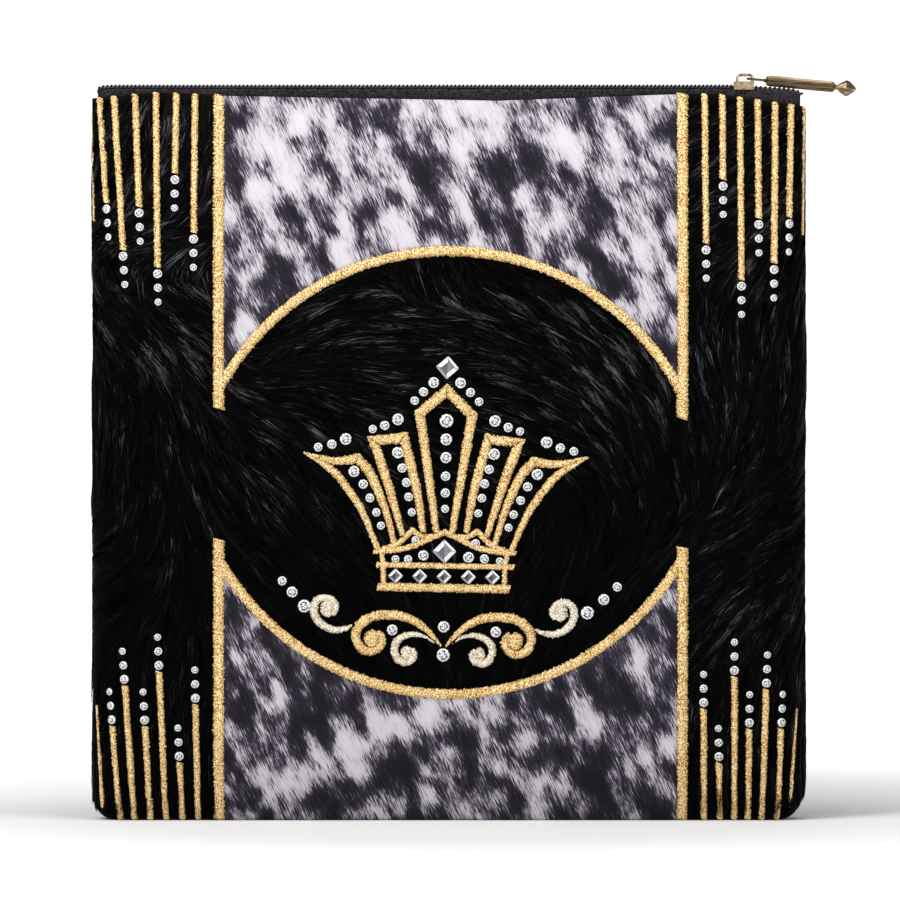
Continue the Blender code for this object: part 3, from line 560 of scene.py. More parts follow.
# The crown's strokes: rows of x, z and width, and whether the other side has a copy
CROWN_STROKES = (
    (((-3.9, 26.3, 3.3), (-8.3, 54.5, 4.3), (-12.8, 82.9, 5), (0, 94.2, 5.1), (12.2, 82.5, 5), (7.7, 53.4, 4.3),
      (3.6, 26.6, 3.2)), False),
    (((10.3, 26.6, 3), (12.2, 38.4, 3.7), (14.5, 50, 4.4), (20.3, 71.4, 4.9), (34.7, 69.6, 4.7), (28, 50.5, 4.5),
      (20.1, 25, 2.9)), True),
    (((24, 20.6, 2.8), (27.8, 34.6, 3.4), (32.5, 46.6, 4.3), (36.5, 54.7, 4.5), (42.2, 61, 4.6), (48.7, 59.9, 4.2),
      (54.7, 59.9, 3.4), (65.4, 62.3, 1.9), (54.4, 55.3, 3.7), (48.5, 48.9, 3.9), (41.3, 38.8, 3.6),
      (37.3, 30.8, 3.2), (32.1, 18.4, 2.8)), True),
    (((30.9, 17.2, 2.7), (22.3, 20.8, 2.7), (15.5, 27.1, 2.7), (10.9, 24.4, 2.5), (5.1, 24.5, 2.4)), True),
    (((-33.6, 16.7, 2.5), (-27.9, 17.1, 2.8), (-22.4, 17.8, 2.8), (-15.2, 19.5, 2.8), (-7.1, 23.3, 2.8), (0, 26.4, 2.8),
      (7.1, 23.3, 2.8), (15.2, 19.5, 2.8), (22.4, 17.8, 2.8), (27.9, 17.1, 2.8), (33.9, 16.9, 2.5)), False),
    (((30, 16.4, 2.5), (29.2, 10, 2.5), (28.8, 1.6, 2.5)), True),
    (((-32, 10.4, 2.7), (33, 10.2, 2.7)), False),
    (((-31.4, -0.2, 4), (31.2, -0.3, 4)), False),
)

# Round crystals: x, z and diameter; CROWN_STONES have mirror images, the lone and the scrolls' have none
CROWN_STONES = (
    (6.4, 97.9, 5.2), (11.2, 93.4, 4.4), (15.4, 89.1, 4.1), (23.2, 80, 5.6), (29.5, 77, 4.5),
    (35.2, 75.2, 4), (48, 70.2, 5.6), (54.6, 67.6, 4.5), (61.1, 66.1, 4.2), (23, 64.1, 5.6),
    (20.8, 56.8, 4.5), (18.7, 49.9, 4.4), (17.5, 43, 4.2), (15.9, 35.7, 3.9), (43.8, 54.8, 5.4),
    (39.3, 48.8, 4.5), (36, 42.2, 4.3), (32.8, 35.4, 4.1), (30.5, 29.1, 3.9), (0, 37.6, 3.9),
)
LONE_STONES = (
    (-23.3, 13.2, 3.8), (-17.3, 13.2, 4), (-10, 15.2, 5), (11.6, 14.6, 5.2), (19.2, 14, 4.4), (26.6, 12.9, 3.9),
    (-13.9, 22.4, 3.9), (14.9, 21.3, 4.1),
)
COLUMN_STONES = (
    (0, 79.7, 6.6), (0, 70.8, 5.7), (0, 62.1, 5.4), (0, 53.2, 4.6), (0, 45.2, 4.5),
)
SCROLL_STONES = (
    (82.5, 30.4, 4.5), (76.2, 24.2, 5.4), (68.5, 17.7, 6.3), (24.9, 7.6, 5.2), (0, 9.6, 5.6), (0, -3.9, 6.4),
    (-24.6, 7.6, 5.2), (-66.9, 18.1, 6.2), (-72.8, 24.7, 5.3), (-77.7, 29.9, 4.4),
)

# Square crystals: x, z, side length and turn in degrees
SQUARE_STONES = (
    (0, 105.1, 7.2, 40),
    (0, 17.2, 7.4, 45),
    (-23.2, 5.15, 4.7, 45),
    (-11.6, 5.15, 4.7, 45),
    (0, 5.15, 4.7, 45),
    (11.6, 5.15, 4.7, 45),
    (23.2, 5.15, 4.7, 45),
)


class ScrollKind(Enum):
    """The three scrolls of each side: rows of x, z and width from tail to curl, then the head's x, z and diameter."""

    GOLD = (
        (
            (1.3, 0.4, 1.1), (5.7, 5.6, 2.8), (11.8, 10.7, 3.9), (19.1, 13.9, 4.6), (26.8, 14.8, 4.8),
            (33.9, 13.8, 5), (38.8, 11, 5), (41.6, 7, 4.8), (41.8, 2.8, 4.7), (39.9, -1, 4.5),
            (36, -3, 4.4), (32, -2, 4.3), (29.5, 1, 4.1), (29.6, 4.6, 3.8), (31.4, 6.6, 2.4),
        ),
        (34.3, 3.3, 8.2),
    )
    INNER = (
        (
            (4.6, 1.8, 0.9), (9, 4.7, 1.8), (14.5, 5.7, 2.8), (19.8, 4.2, 3.5), (22.8, 1.2, 3.9),
            (23.4, -2.4, 4.1), (21.9, -6, 4.1), (18.5, -7.9, 4), (15, -6.6, 3.9), (13.8, -3.6, 3.4), (14.8, -1.4, 2.2),
        ),
        (17.4, -3.3, 6.4),
    )
    OUTER = (
        (
            (44.2, 9.1, 1.4), (47.1, 7.6, 2.6), (53.2, 7.1, 3.6), (58.8, 9.8, 4), (61.8, 13.8, 4.2),
            (62.2, 17.6, 4.2), (60.8, 21, 4), (57, 22.3, 3.8), (53.2, 20.8, 3.6), (51.7, 17.6, 3.4), (53.2, 14.6, 2.8),
        ),
        (55.6, 17.3, 8),
    )


# Meshes and repeated pieces


def mesh_from(name: str, points: np.ndarray, faces: list, smooth: bool = True) -> Mesh:
    """A mesh from points and faces."""
    mesh = bpy.data.meshes.new(name)
    mesh.from_pydata([tuple(p) for p in np.asarray(points).reshape(-1, 3)], [], faces)
    mesh.polygons.foreach_set("use_smooth", [smooth] * len(mesh.polygons))
    mesh.update()
    return mesh


def marked(mesh: Mesh, along: np.ndarray) -> Mesh:
    """Gives a small mesh's points an attribute that goes with each of its copies."""
    layer = mesh.attributes.new("along", "FLOAT", "POINT")
    layer.data.foreach_set("value", np.asarray(along, np.float32))
    return mesh


def add_piece(name: str, mesh: Mesh, material: Material | None) -> Object:
    """An object of the scene with that mesh and material."""
    if material:
        mesh.materials.clear()
        mesh.materials.append(material)
    made = bpy.data.objects.new(name, mesh)
    bpy.context.scene.collection.objects.link(made)
    return made


def grid_faces(rows: int, columns: int, closed: bool = False) -> list[tuple[int, int, int, int]]:
    """The faces of a grid of points, with its last column joined to its first if it is closed."""
    last = columns if closed else columns - 1
    faces = []
    for r in range(rows - 1):
        for c in range(last):
            d = (c + 1) % columns
            faces.append((r * columns + c, r * columns + d, (r + 1) * columns + d, (r + 1) * columns + c))
    return faces


def flipped(faces: list[tuple]) -> list[tuple]:
    """The same faces, seen from their other side."""
    return [tuple(reversed(face)) for face in faces]


@dataclass
class Places:
    """Where copies of a small shape stand: each one's point, own X and Z directions, size and shade."""

    point: np.ndarray
    across: np.ndarray
    outward: np.ndarray
    size: np.ndarray
    shade: np.ndarray

    @classmethod
    def joined(cls, *parts: "Places") -> "Places":
        """Several sets of places as one."""
        return cls(*(np.concatenate(rows) for rows in zip(*(vars(part).values() for part in parts))))

    def only(self, keep: np.ndarray) -> "Places":
        """The places that a mask keeps."""
        return Places(*(rows[keep] for rows in vars(self).values()))

    def mesh(self, name: str) -> Mesh:
        """A mesh of bare points that carries the directions as attributes."""
        mesh = mesh_from(name, self.point, [])
        for label, values in (("across", self.across), ("outward", self.outward), ("size", self.size)):
            layer = mesh.attributes.new(label, "FLOAT_VECTOR", "POINT")
            layer.data.foreach_set("vector", np.asarray(values, np.float32).ravel())
        shade = mesh.attributes.new("shade", "FLOAT", "POINT")
        shade.data.foreach_set("value", np.asarray(self.shade, np.float32))
        return mesh


class Setting:
    """The Geometry Nodes tree that sets a copy of a small shape on every place."""

    guides = ("across", "outward", "size")

    def __init__(self) -> None:
        """Builds the tree with its named inputs."""
        tree = bpy.data.node_groups.new("set on places", "GeometryNodeTree")
        self.tree = tree
        sockets = (
            ("Places", "NodeSocketGeometry"),
            ("Shape", "NodeSocketObject"),
            ("Finish", "NodeSocketMaterial"),
        )
        self.keys = {
            name: tree.interface.new_socket(name, in_out="INPUT", socket_type=kind).identifier for name, kind in sockets
        }
        tree.interface.new_socket("Pieces", in_out="OUTPUT", socket_type="NodeSocketGeometry")
        given = add_node(tree, "NodeGroupInput").outputs
        named = {}
        for label in self.guides:
            reader = add_node(tree, "GeometryNodeInputNamedAttribute", {"Name": label}, data_type="FLOAT_VECTOR")
            named[label] = reader.outputs["Attribute"]
        axes = {"Primary Axis": named["outward"], "Secondary Axis": named["across"]}
        turn = add_node(tree, "FunctionNodeAxesToRotation", axes, primary_axis="Z", secondary_axis="X")
        shape = add_node(tree, "GeometryNodeObjectInfo", {"Object": given["Shape"], "As Instance": True})
        inputs = {
            "Points": given["Places"],
            "Instance": shape.outputs["Geometry"],
            "Rotation": turn.outputs["Rotation"],
            "Scale": named["size"],
        }
        copies = add_node(tree, "GeometryNodeInstanceOnPoints", inputs)
        real = add_node(tree, "GeometryNodeRealizeInstances", {"Geometry": copies.outputs["Instances"]})
        inputs = {"Geometry": real.outputs["Geometry"], "Material": given["Finish"]}
        dressed = add_node(tree, "GeometryNodeSetMaterial", inputs)
        add_node(tree, "NodeGroupOutput", {"Pieces": dressed.outputs["Geometry"]})

    def make(self, name: str, places: Places, shape: Mesh, finish: Material) -> Object:
        """Sets a shape on every place and turns the result into a plain mesh.

        Args:
            name: the piece's name.
            places: where the copies stand.
            shape: the small mesh that is repeated.
            finish: the material of all copies.

        Returns:
            The finished piece.
        """
        source = add_piece(f"{name}_shape", shape, None)
        holder = add_piece(f"{name}_places", places.mesh(f"{name}_places"), None)
        modifier = holder.modifiers.new("Set", "NODES")
        modifier.node_group = self.tree
        modifier[self.keys["Shape"]] = source
        modifier[self.keys["Finish"]] = finish
        graph = bpy.context.evaluated_depsgraph_get()
        mesh = bpy.data.meshes.new_from_object(
            holder.evaluated_get(graph), preserve_all_data_layers=True, depsgraph=graph
        )
        for label in self.guides:
            if label in mesh.attributes:
                mesh.attributes.remove(mesh.attributes[label])
        bpy.data.objects.remove(holder)
        bpy.data.objects.remove(source)
        mesh.name = name
        return add_piece(name, mesh, None)


# Satin stitch


@dataclass(frozen=True)
class SatinStitch:
    """A raised band of threads laid across a line, a thread beside a thread."""

    pitch: float = 0.5 * MM
    overlap: float = 1.5
    height: float = 1.7 * MM
    slant: float = math.radians(16)
    uneven: float = 0.07
    stray: float = 0.13 * MM
    spill: float = 0.25 * MM
    sharp: float = math.radians(33)
    mitre: float = 1.3
    smooth_steps: int = 12

    def thread(self) -> Mesh:
        """One thread of unit width, pitch and height: an arch over the line with a ridged back."""
        reach = (-1.0, -0.82, -0.34, 0.34, 0.82, 1.0)
        rise = (-0.12, 0.6, 0.95, 0.95, 0.6, -0.12)
        points = []
        for u, h in zip(reach, rise):
            points += [(u / 2, -0.5, h - 0.17), (u / 2, 0.0, h), (u / 2, 0.5, h - 0.17)]
        mesh = mesh_from("thread", np.array(points), flipped(grid_faces(len(reach), 3)))
        # The 'along' marks grow towards the thread's ends, where the finish paints shade at the band's edges.
        return marked(mesh, np.repeat(np.abs(reach) ** 2, 3))

    def smooth_line(self, line: np.ndarray) -> np.ndarray:
        """Rounds a polyline of (s, z, width) rows through its own points."""
        if len(line) < 3:
            return line
        padded = np.vstack([2 * line[0] - line[1], line, 2 * line[-1] - line[-2]])
        rows = []
        for i in range(1, len(padded) - 2):
            a, b, c, d = padded[i - 1 : i + 3]
            t = np.linspace(0, 1, self.smooth_steps, endpoint=False)[:, None]
            rows.append(
                0.5 * (2 * b + (c - a) * t + (2 * a - 5 * b + 4 * c - d) * t**2 + (3 * b - a - 3 * c + d) * t**3)
            )
        return np.vstack([*rows, line[-1:]])

    def runs(self, line: np.ndarray) -> list[tuple[np.ndarray, tuple[float, float]]]:
        """Splits a polyline at its sharp corners; each run comes with half the turn at its start and its end."""
        steps = np.diff(line[:, :2], axis=0)
        turns = (np.diff(np.arctan2(steps[:, 1], steps[:, 0])) + math.pi) % (2 * math.pi) - math.pi
        sharp = [i + 1 for i, turn in enumerate(turns) if abs(turn) > self.sharp]
        cuts = [0, *sharp, len(line) - 1]
        bends = [0.0, *(turns[i - 1] / 2 for i in sharp), 0.0]
        return [
            (self.smooth_line(line[first : last + 1]), (bends[i], bends[i + 1]))
            for i, (first, last) in enumerate(zip(cuts, cuts[1:]))
        ]

    def reached(self, run: np.ndarray, bends: tuple[float, float]) -> tuple[np.ndarray, float, float]:
        """Draws a run's ends out over its corners; also how far each end goes past its corner."""
        grown = []
        for end, inner, bend in ((0, 1, bends[0]), (-1, -2, bends[1])):
            width = run[end, 2]
            extra = min(width / 2 * abs(math.tan(bend)), self.mitre * width) + 1e-9
            way = run[end, :2] - run[inner, :2]
            grown.append((np.array([*(run[end, :2] + way / np.linalg.norm(way) * extra), width]), extra))
        return np.vstack([grown[0][0], run, grown[1][0]]), grown[0][1], grown[1][1]

    def along_run(self, run: np.ndarray, seed: int, lift: float, bends: tuple[float, float] = (0.0, 0.0)) -> Places:
        """Places one thread per pitch along a run, cut at the mitre of a corner.

        Args:
            run: rows of s, z and width.
            seed: the seed of the small unevenness.
            lift: how far the threads' feet stand off the wall.
            bends: half the line's turn at the run's start and end, zero where there is no corner.

        Returns:
            The threads' places.
        """
        random = np.random.default_rng(seed)
        run, before, beyond = self.reached(run, bends)
        lengths = np.concatenate([[0], np.cumsum(np.linalg.norm(np.diff(run[:, :2], axis=0), axis=1))])
        marks = np.linspace(0, lengths[-1], max(2, int(lengths[-1] / self.pitch)))
        s, z, width = (np.interp(marks, lengths, run[:, i]) for i in range(3))
        way = unit(np.stack([np.gradient(s), np.gradient(z)], axis=-1))
        width = np.maximum(width - self.spill, 0.6 * width)
        low, high = -width / 2, width / 2
        for bend, past in ((bends[0], before - marks), (bends[1], marks - lengths[-1] + beyond)):
            if bend > 0:
                high = np.minimum(high, -past / math.tan(bend))
            elif bend < 0:
                low = np.maximum(low, -past / math.tan(bend))
        keep = high - low > np.minimum(0.14 * width, 0.4 * MM)
        s, z, width, way, low, high, marks = (part[keep] for part in (s, z, width, way, low, high, marks))
        count = len(s)
        side = np.stack([-way[:, 1], way[:, 0]], axis=-1)
        middle = (low + high) / 2 + random.normal(0, self.stray, count)
        lean = self.slant + random.normal(0, 0.06, count)
        across = side * np.cos(lean)[:, None] + way * np.sin(lean)[:, None]
        sideways, upwards, out = POUCH.frame(s, z)
        size = np.stack(
            [
                (high - low) / np.cos(lean) * (1 + random.normal(0, self.uneven, count)),
                np.full(count, self.pitch * self.overlap),
                np.minimum(self.height, width * 0.5) * (1 + random.normal(0, 0.012, count)),
            ],
            axis=-1,
        )
        slow = 0.5 + 0.07 * np.sin(marks / (3.1 * MM) + seed) * np.sin(marks / (7.7 * MM) + 2 * seed)
        return Places(
            POUCH.place(s + side[:, 0] * middle, z + side[:, 1] * middle, lift),
            sideways * across[:, :1] + upwards * across[:, 1:],
            out,
            size,
            np.clip(slow + random.normal(0, 0.08, count), 0, 1),
        )

    def along_line(self, line: np.ndarray, seed: int, lift: float = GAP) -> Places:
        """Places threads along a polyline of (s, z, width) rows, a run at a time."""
        runs = enumerate(self.runs(np.asarray(line, float)))
        return Places.joined(*(self.along_run(run, seed * 31 + i, lift, bends) for i, (run, bends) in runs))


@dataclass
class Bag:
    """What every sub-assembly needs: the tree that sets copies, and a way to hand a finished piece over."""

    setting: Setting

    def hand_over(self, piece: Object, slot: str, nodes: tuple = (), body: str = "bag") -> None:
        """Makes a piece ride, names the CAD nodes it stands for, and reports it.

        Args:
            piece: the finished piece.
            slot: the record's material slot; not used.
            nodes: the CAD nodes that it replaces.
            body: the CAD body that it rides on.
        """
        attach(piece, body)
        if nodes:
            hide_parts(*nodes)
        faces = sum(len(p.vertices) - 2 for p in piece.data.polygons)
        log.info("%s: %d triangles, stands for %s", piece.name, faces, ", ".join(nodes) or "no node")

    def open_sheet(
        self, name: str, points: np.ndarray, turned: bool, thick: float, finish: Material
    ) -> Object:
        """Makes an open sheet that is given its thickness inwards.

        Args:
            name: the piece's name.
            points: the outer surface, as rows of points.
            turned: whether the rows run the other way round, so that the faces have to be turned over.
            thick: the sheet's thickness.
            finish: its material.

        Returns:
            The sheet, not yet handed over.
        """
        faces = grid_faces(points.shape[0], points.shape[1])
        piece = add_piece(name, mesh_from(name, points, flipped(faces) if turned else faces), finish)
        solid = piece.modifiers.new("Wall", "SOLIDIFY")
        solid.thickness = thick
        solid.offset = -1
        return piece


@dataclass
class Walls(Bag):
    """The front hide and the back leather, each a soft wall of 2.5 mm that turns in to the side seams."""

    thick: float = 2.5 * MM
    columns: int = 110
    foot_levels: tuple = (0, 0.4, 1.2, 3, 6)
    even_from: float = 10 * MM
    even_to: float = 300 * MM
    even_rows: int = 69
    seam_nominal: float = 346.5 * MM
    seam_rows: int = 10

    def half_reach(self, share: np.ndarray, level: np.ndarray) -> np.ndarray:
        """How far along the cloth a wall goes from the middle line to its side seam."""
        depth = POUCH.half_depth(level)
        return POUCH.half_width(share, level) - depth + depth * np.arccos(GAP / 2 / depth)

    def surface(self, facing: int) -> np.ndarray:
        """The wall's outer surface as rows of points, for the front (-1) or the back (1)."""
        even = np.linspace(self.even_from, self.even_to, self.even_rows)
        heights = np.concatenate([np.array(self.foot_levels) * MM, even])
        share = np.linspace(-1, 1, self.columns + 1)
        rows = []
        for z in heights:
            level = np.full(share.shape, z)
            rows.append(POUCH.place(share * self.half_reach(share, level), level))
        for rise in np.linspace(0, 1, self.seam_rows + 1)[1:]:
            level = np.full(share.shape, self.even_to + rise * (self.seam_nominal - self.even_to))
            x = POUCH.place(share * self.half_reach(share, level), level)[:, 0]
            level = self.even_to + rise * (POUCH.seam_height(x) - self.even_to)
            rows.append(POUCH.place(share * self.half_reach(share, level), level))
        base = rows[0].copy()
        base[:, 1] = np.maximum(base[:, 1], -GAP / 2)
        rows.insert(0, base)
        points = np.array(rows)
        if facing > 0:
            points[:, :, 1] *= -1
        return points

    def wall(self, name: str, facing: int, finish: Finish, slot: str, node: str) -> None:
        """Builds one wall as a sheet and gives it its thickness inwards."""
        piece = self.open_sheet(name, self.surface(facing), facing > 0, self.thick, finish.make())
        self.hand_over(piece, slot, (node,))

    def build(self) -> None:
        """Builds both walls."""
        hide = ShornHide("shorn dyed hide", 0.9, {"Specular IOR Level": 0.1})
        self.wall("front_hide", -1, hide, "black_hide", "front_panel")
        backing = GrainedBacking("grained coated leather", 0.55, {"Specular IOR Level": 0.4})
        self.wall("back_leather", 1, backing, "black_backing", "back_panel")


@dataclass
class Pile(Bag):
    """The front's combed pile: flat tapering locks of hair that lie along the comb directions."""

    spacing: float = 0.672 * MM
    length: float = 14.0 * MM
    width: float = 0.32 * MM
    lock_across: float = 5.4 * MM
    lock_along: float = 15.0 * MM
    side_reach: float = 4.5 * MM
    print_clear: float = 0.5 * MM
    base_clear: float = 1.6 * MM
    shortest: float = 0.4 * MM
    top_from: float = 300 * MM
    top_share: float = 0.7
    comb_spread: float = 11.0
    painted_highlight_spread: float = 20.0
    comb_batch: int = 20000
    lock_batch: int = 4000
    half_span: float = 0.186
    top: float = 0.349
    seed: int = 41
    # Where the pile is combed to: x and height in mm, and the direction in degrees from +X
    comb: tuple = (
        (-165, 331, -112), (-151, 331, -112), (-136, 331, -110), (-122, 331, -105), (-165, 302, -115),
        (-144, 307, -118), (-122, 302, -120), (-163, 284, -165), (-139, 280, -172), (-120, 284, -165),
        (-165, 259, -38), (-148, 249, -35), (-127, 259, -28), (-163, 235, -45), (-144, 228, -50),
        (-124, 235, -42), (-117, 216, -50), (-165, 206, -85), (-148, 201, -108), (-134, 206, -75),
        (-120, 196, -60), (-165, 177, -80), (-148, 177, -100), (-132, 177, -80), (-117, 177, -65),
        (-165, 153, -130), (-148, 153, -115), (-136, 151, -85), (-120, 153, -60), (-165, 129, -160),
        (-144, 129, -140), (-122, 129, -70), (-165, 100, -150), (-144, 96, -115), (-122, 100, -80),
        (-163, 67, -100), (-139, 57, -95), (-120, 57, -90), (-163, 19, -95), (-139, 19, -92),
        (-120, 19, -90), (-96, 216, 22), (-98, 196, -25), (-100, 177, -50), (-98, 153, -58),
        (-96, 129, -40), (-72, 240, 28), (-72, 216, 5), (-72, 192, -38), (-72, 168, -52), (-72, 139, -48),
        (-48, 254, 18), (-48, 230, 8), (-48, 206, -12), (-52, 182, -40), (-52, 144, -50), (-24, 264, -88),
        (-24, 249, 2), (-24, 225, 0), (0, 265, -75), (0, 247, -12), (0, 228, -8), (24, 256, -30),
        (24, 235, -22), (24, 211, -15), (48, 244, -42), (48, 220, -32), (48, 192, -25), (72, 220, -52),
        (72, 192, -52), (68, 168, -60), (96, 192, -72), (92, 168, -82), (96, 144, -100), (72, 144, -95),
        (58, 124, -110), (82, 120, -125), (101, 124, -140), (-57, 120, -38), (-48, 96, -50),
        (-24, 105, -60), (-24, 72, -68), (0, 105, -90), (0, 72, -75), (24, 105, -110), (24, 72, -80),
        (48, 96, -120), (48, 76, -105), (123, 331, -150), (144, 331, -150), (166, 326, -135),
        (123, 302, -150), (144, 302, -150), (164, 297, -130), (123, 278, -160), (142, 273, -140),
        (120, 254, -85), (140, 254, -95), (159, 259, -110), (123, 225, -70), (140, 225, -90),
        (161, 225, -95), (123, 196, -70), (140, 196, -100), (161, 196, -110), (120, 172, -80),
        (140, 172, -125), (161, 172, -140), (120, 148, -140), (142, 148, -148), (161, 148, -150),
        (120, 124, -150), (142, 124, -145), (161, 124, -140), (120, 96, -130), (142, 96, -130),
        (161, 96, -120), (123, 57, -100), (144, 57, -100), (164, 57, -100), (123, 19, -95), (144, 19, -92),
        (164, 19, -92),
    )
    # How much highlight is painted on the pile: x and height in mm, and the strength
    painted_highlights: tuple = (
        (-141, 321, 1.0), (-141, 268, 1.0), (-141, 230, 1.0), (-141, 189, 0.55), (-141, 146, 0.6), (-141, 105, 0.4),
        (-141, 57, 0.45), (-86, 182, 0.8), (-86, 136, 0.4), (-55, 115, 0.36), (-52, 235, 0.85), (0, 254, 0.85),
        (34, 225, 0.95), (72, 218, 1.35), (89, 184, 0.36), (87, 143, 0.25), (53, 115, 0.25), (0, 86, 0.35),
        (144, 321, 0.9), (144, 254, 0.9), (144, 213, 0.65), (144, 168, 0.8), (144, 117, 0.7), (144, 48, 0.6),
        (0, 190, 0.7), (-40, 170, 0.7), (40, 170, 0.5),
    )

    def painted_highlight_at(self, s: np.ndarray, z: np.ndarray) -> np.ndarray:
        """How strongly highlights are painted on the pile at places on the wall."""
        total, weights = np.zeros(len(s)), np.full(len(s), 1e-9)
        for x, height, strength in self.painted_highlights:
            weight = np.exp(-((s / MM - x) ** 2 + (z / MM - height) ** 2) / (2 * self.painted_highlight_spread**2))
            total += weight * strength
            weights += weight
        return (total + 0.7e-9) / weights

    def hair(self) -> Mesh:
        """One hair of unit length and width, arched off the hide and pointed."""
        points = [(0, -0.5, -0.02), (0, 0.5, -0.02), (0.5, -0.42, 0.05), (0.5, 0.42, 0.05), (1, 0, 0.03)]
        # The 'along' marks place the painted highlight on the hair: faint at the root, full in the middle, a little
        # less at the tip.
        return marked(mesh_from("hair", np.array(points), [(0, 2, 3, 1), (2, 4, 3)]), [0.2, 0.2, 1.0, 1.0, 0.75])

    def way(self, s: np.ndarray, z: np.ndarray) -> np.ndarray:
        """The comb's direction at places on the wall, as unit rows of along and up."""
        table = np.array(self.comb, float)
        angle = np.radians(table[:, 2])
        total = np.zeros((len(s), 2))
        for start in range(0, len(s), self.comb_batch):
            part = slice(start, start + self.comb_batch)
            away = (s[part, None] / MM - table[:, 0]) ** 2 + (z[part, None] / MM - table[:, 1]) ** 2
            weight = np.exp(-away / (2 * self.comb_spread**2)) + 1e-9
            total[part] = np.stack([weight @ np.cos(angle), weight @ np.sin(angle)], axis=-1)
        return unit(total)

    def scattered(self, spacing: float, random: np.random.Generator) -> tuple[np.ndarray, np.ndarray]:
        """A jittered grid of places over the front wall."""
        s, z = np.meshgrid(np.arange(-self.half_span, self.half_span, spacing), np.arange(0.0, self.top, spacing))
        s = s.ravel() + random.uniform(-0.5, 0.5, s.size) * spacing
        z = z.ravel() + random.uniform(-0.5, 0.5, z.size) * spacing
        depth = POUCH.half_depth(z)
        reach = POUCH.half_width(s, z) - depth + depth * 1.5
        keep = (np.abs(s) < reach) & (z > 1.2 * MM) & (z < POUCH.seam_height(s) - 0.6 * MM)
        return s[keep], z[keep]

    def on_pile(self, s: np.ndarray, z: np.ndarray) -> np.ndarray:
        """Whether places lie outside both printed panels."""
        bare = np.ones(len(s), bool)
        for plan in BORDERS.values():
            between = (s > plan.bar_left) & (s < plan.bar_right)
            radius = np.hypot(s - plan.x, z - plan.z)
            beyond = (z > plan.z) if plan.upper else (z < plan.z)
            bare &= ~(between & beyond & (radius > plan.radius - self.print_clear))
        return bare

    def short_of_stones(self, s: np.ndarray, z: np.ndarray, way: np.ndarray, length: np.ndarray) -> np.ndarray:
        """Cuts hairs short of the glued crystals, which stand clean of the pile."""
        for stone_s, stone_z, size in Crystals(self.setting).small_spots():
            ahead = (stone_s - s) * way[:, 0] + (stone_z - z) * way[:, 1]
            aside = (stone_z - z) * way[:, 0] - (stone_s - s) * way[:, 1]
            radius = size / 2 + 0.25 * MM
            half = np.sqrt(np.clip(radius**2 - aside**2, 0, None))
            meets = (np.abs(aside) < radius) & (ahead > -half) & (ahead - half < length)
            length = np.where(meets, np.maximum(ahead - half, self.shortest), length)
        return length

    def nearest_lock(
        self, s: np.ndarray, z: np.ndarray, way: np.ndarray, lock_s: np.ndarray, lock_z: np.ndarray
    ) -> np.ndarray:
        """The lock that each hair belongs to, where locks are longer along the comb than across it."""
        nearest = np.zeros(len(s), int)
        for start in range(0, len(s), self.lock_batch):
            part = slice(start, start + self.lock_batch)
            ds, dz = lock_s[None] - s[part, None], lock_z[None] - z[part, None]
            ahead = ds * way[part, :1] + dz * way[part, 1:]
            aside = -ds * way[part, 1:] + dz * way[part, :1]
            nearest[part] = np.argmin((ahead / self.lock_along) ** 2 + (aside / self.lock_across) ** 2, axis=1)
        return nearest

    def cut_to_edges(
        self, s: np.ndarray, z: np.ndarray, along: np.ndarray, up: np.ndarray, length: np.ndarray
    ) -> np.ndarray:
        """Cuts hairs short of the base, the rounded corners and the side seams."""
        falling = np.where(up < -0.05, -up, 0.05)
        floor = self.base_clear + POUCH.corner_floor(s, z)
        length = np.clip(length, None, np.maximum((z - floor) / falling, self.shortest))
        turned = np.abs(s) > POUCH.half_width(s, z) - POUCH.half_depth(z) - self.side_reach
        return np.where(turned, np.minimum(length, self.side_reach / np.maximum(np.abs(along), 0.2)), length)

    def shade(
        self, glow: np.ndarray, crest: np.ndarray, ahead: np.ndarray, random: np.random.Generator
    ) -> np.ndarray:
        """The hairs' painted highlights: most on the crest of a lock painted bright, and a few stray hairs painted
        light anywhere.

        Args:
            glow: how strongly each hair's lock is painted with highlights.
            crest: how near the hair is to its lock's crest, from 0 to 1.
            ahead: how far its lock's middle lies ahead of it.
            random: the source of chance.

        Returns:
            One value for each hair, about 0 to 1.
        """
        midway = np.exp(-((ahead / self.lock_along) ** 2) / 0.4)
        single = random.uniform(0, 1, len(ahead))
        # Painted highlight along a bright lock's crest, strongest midway along the lock.
        lit = 0.06 + 2.4 * glow * (0.4 + 0.6 * crest) * midway * single**2.6
        # A few stray hairs painted light, as painted glints.
        stray = np.where(random.uniform(0, 1, len(ahead)) < 0.12, 0.45 * single, 0.0)
        return lit + (stray + random.normal(0, 0.04, len(ahead)))

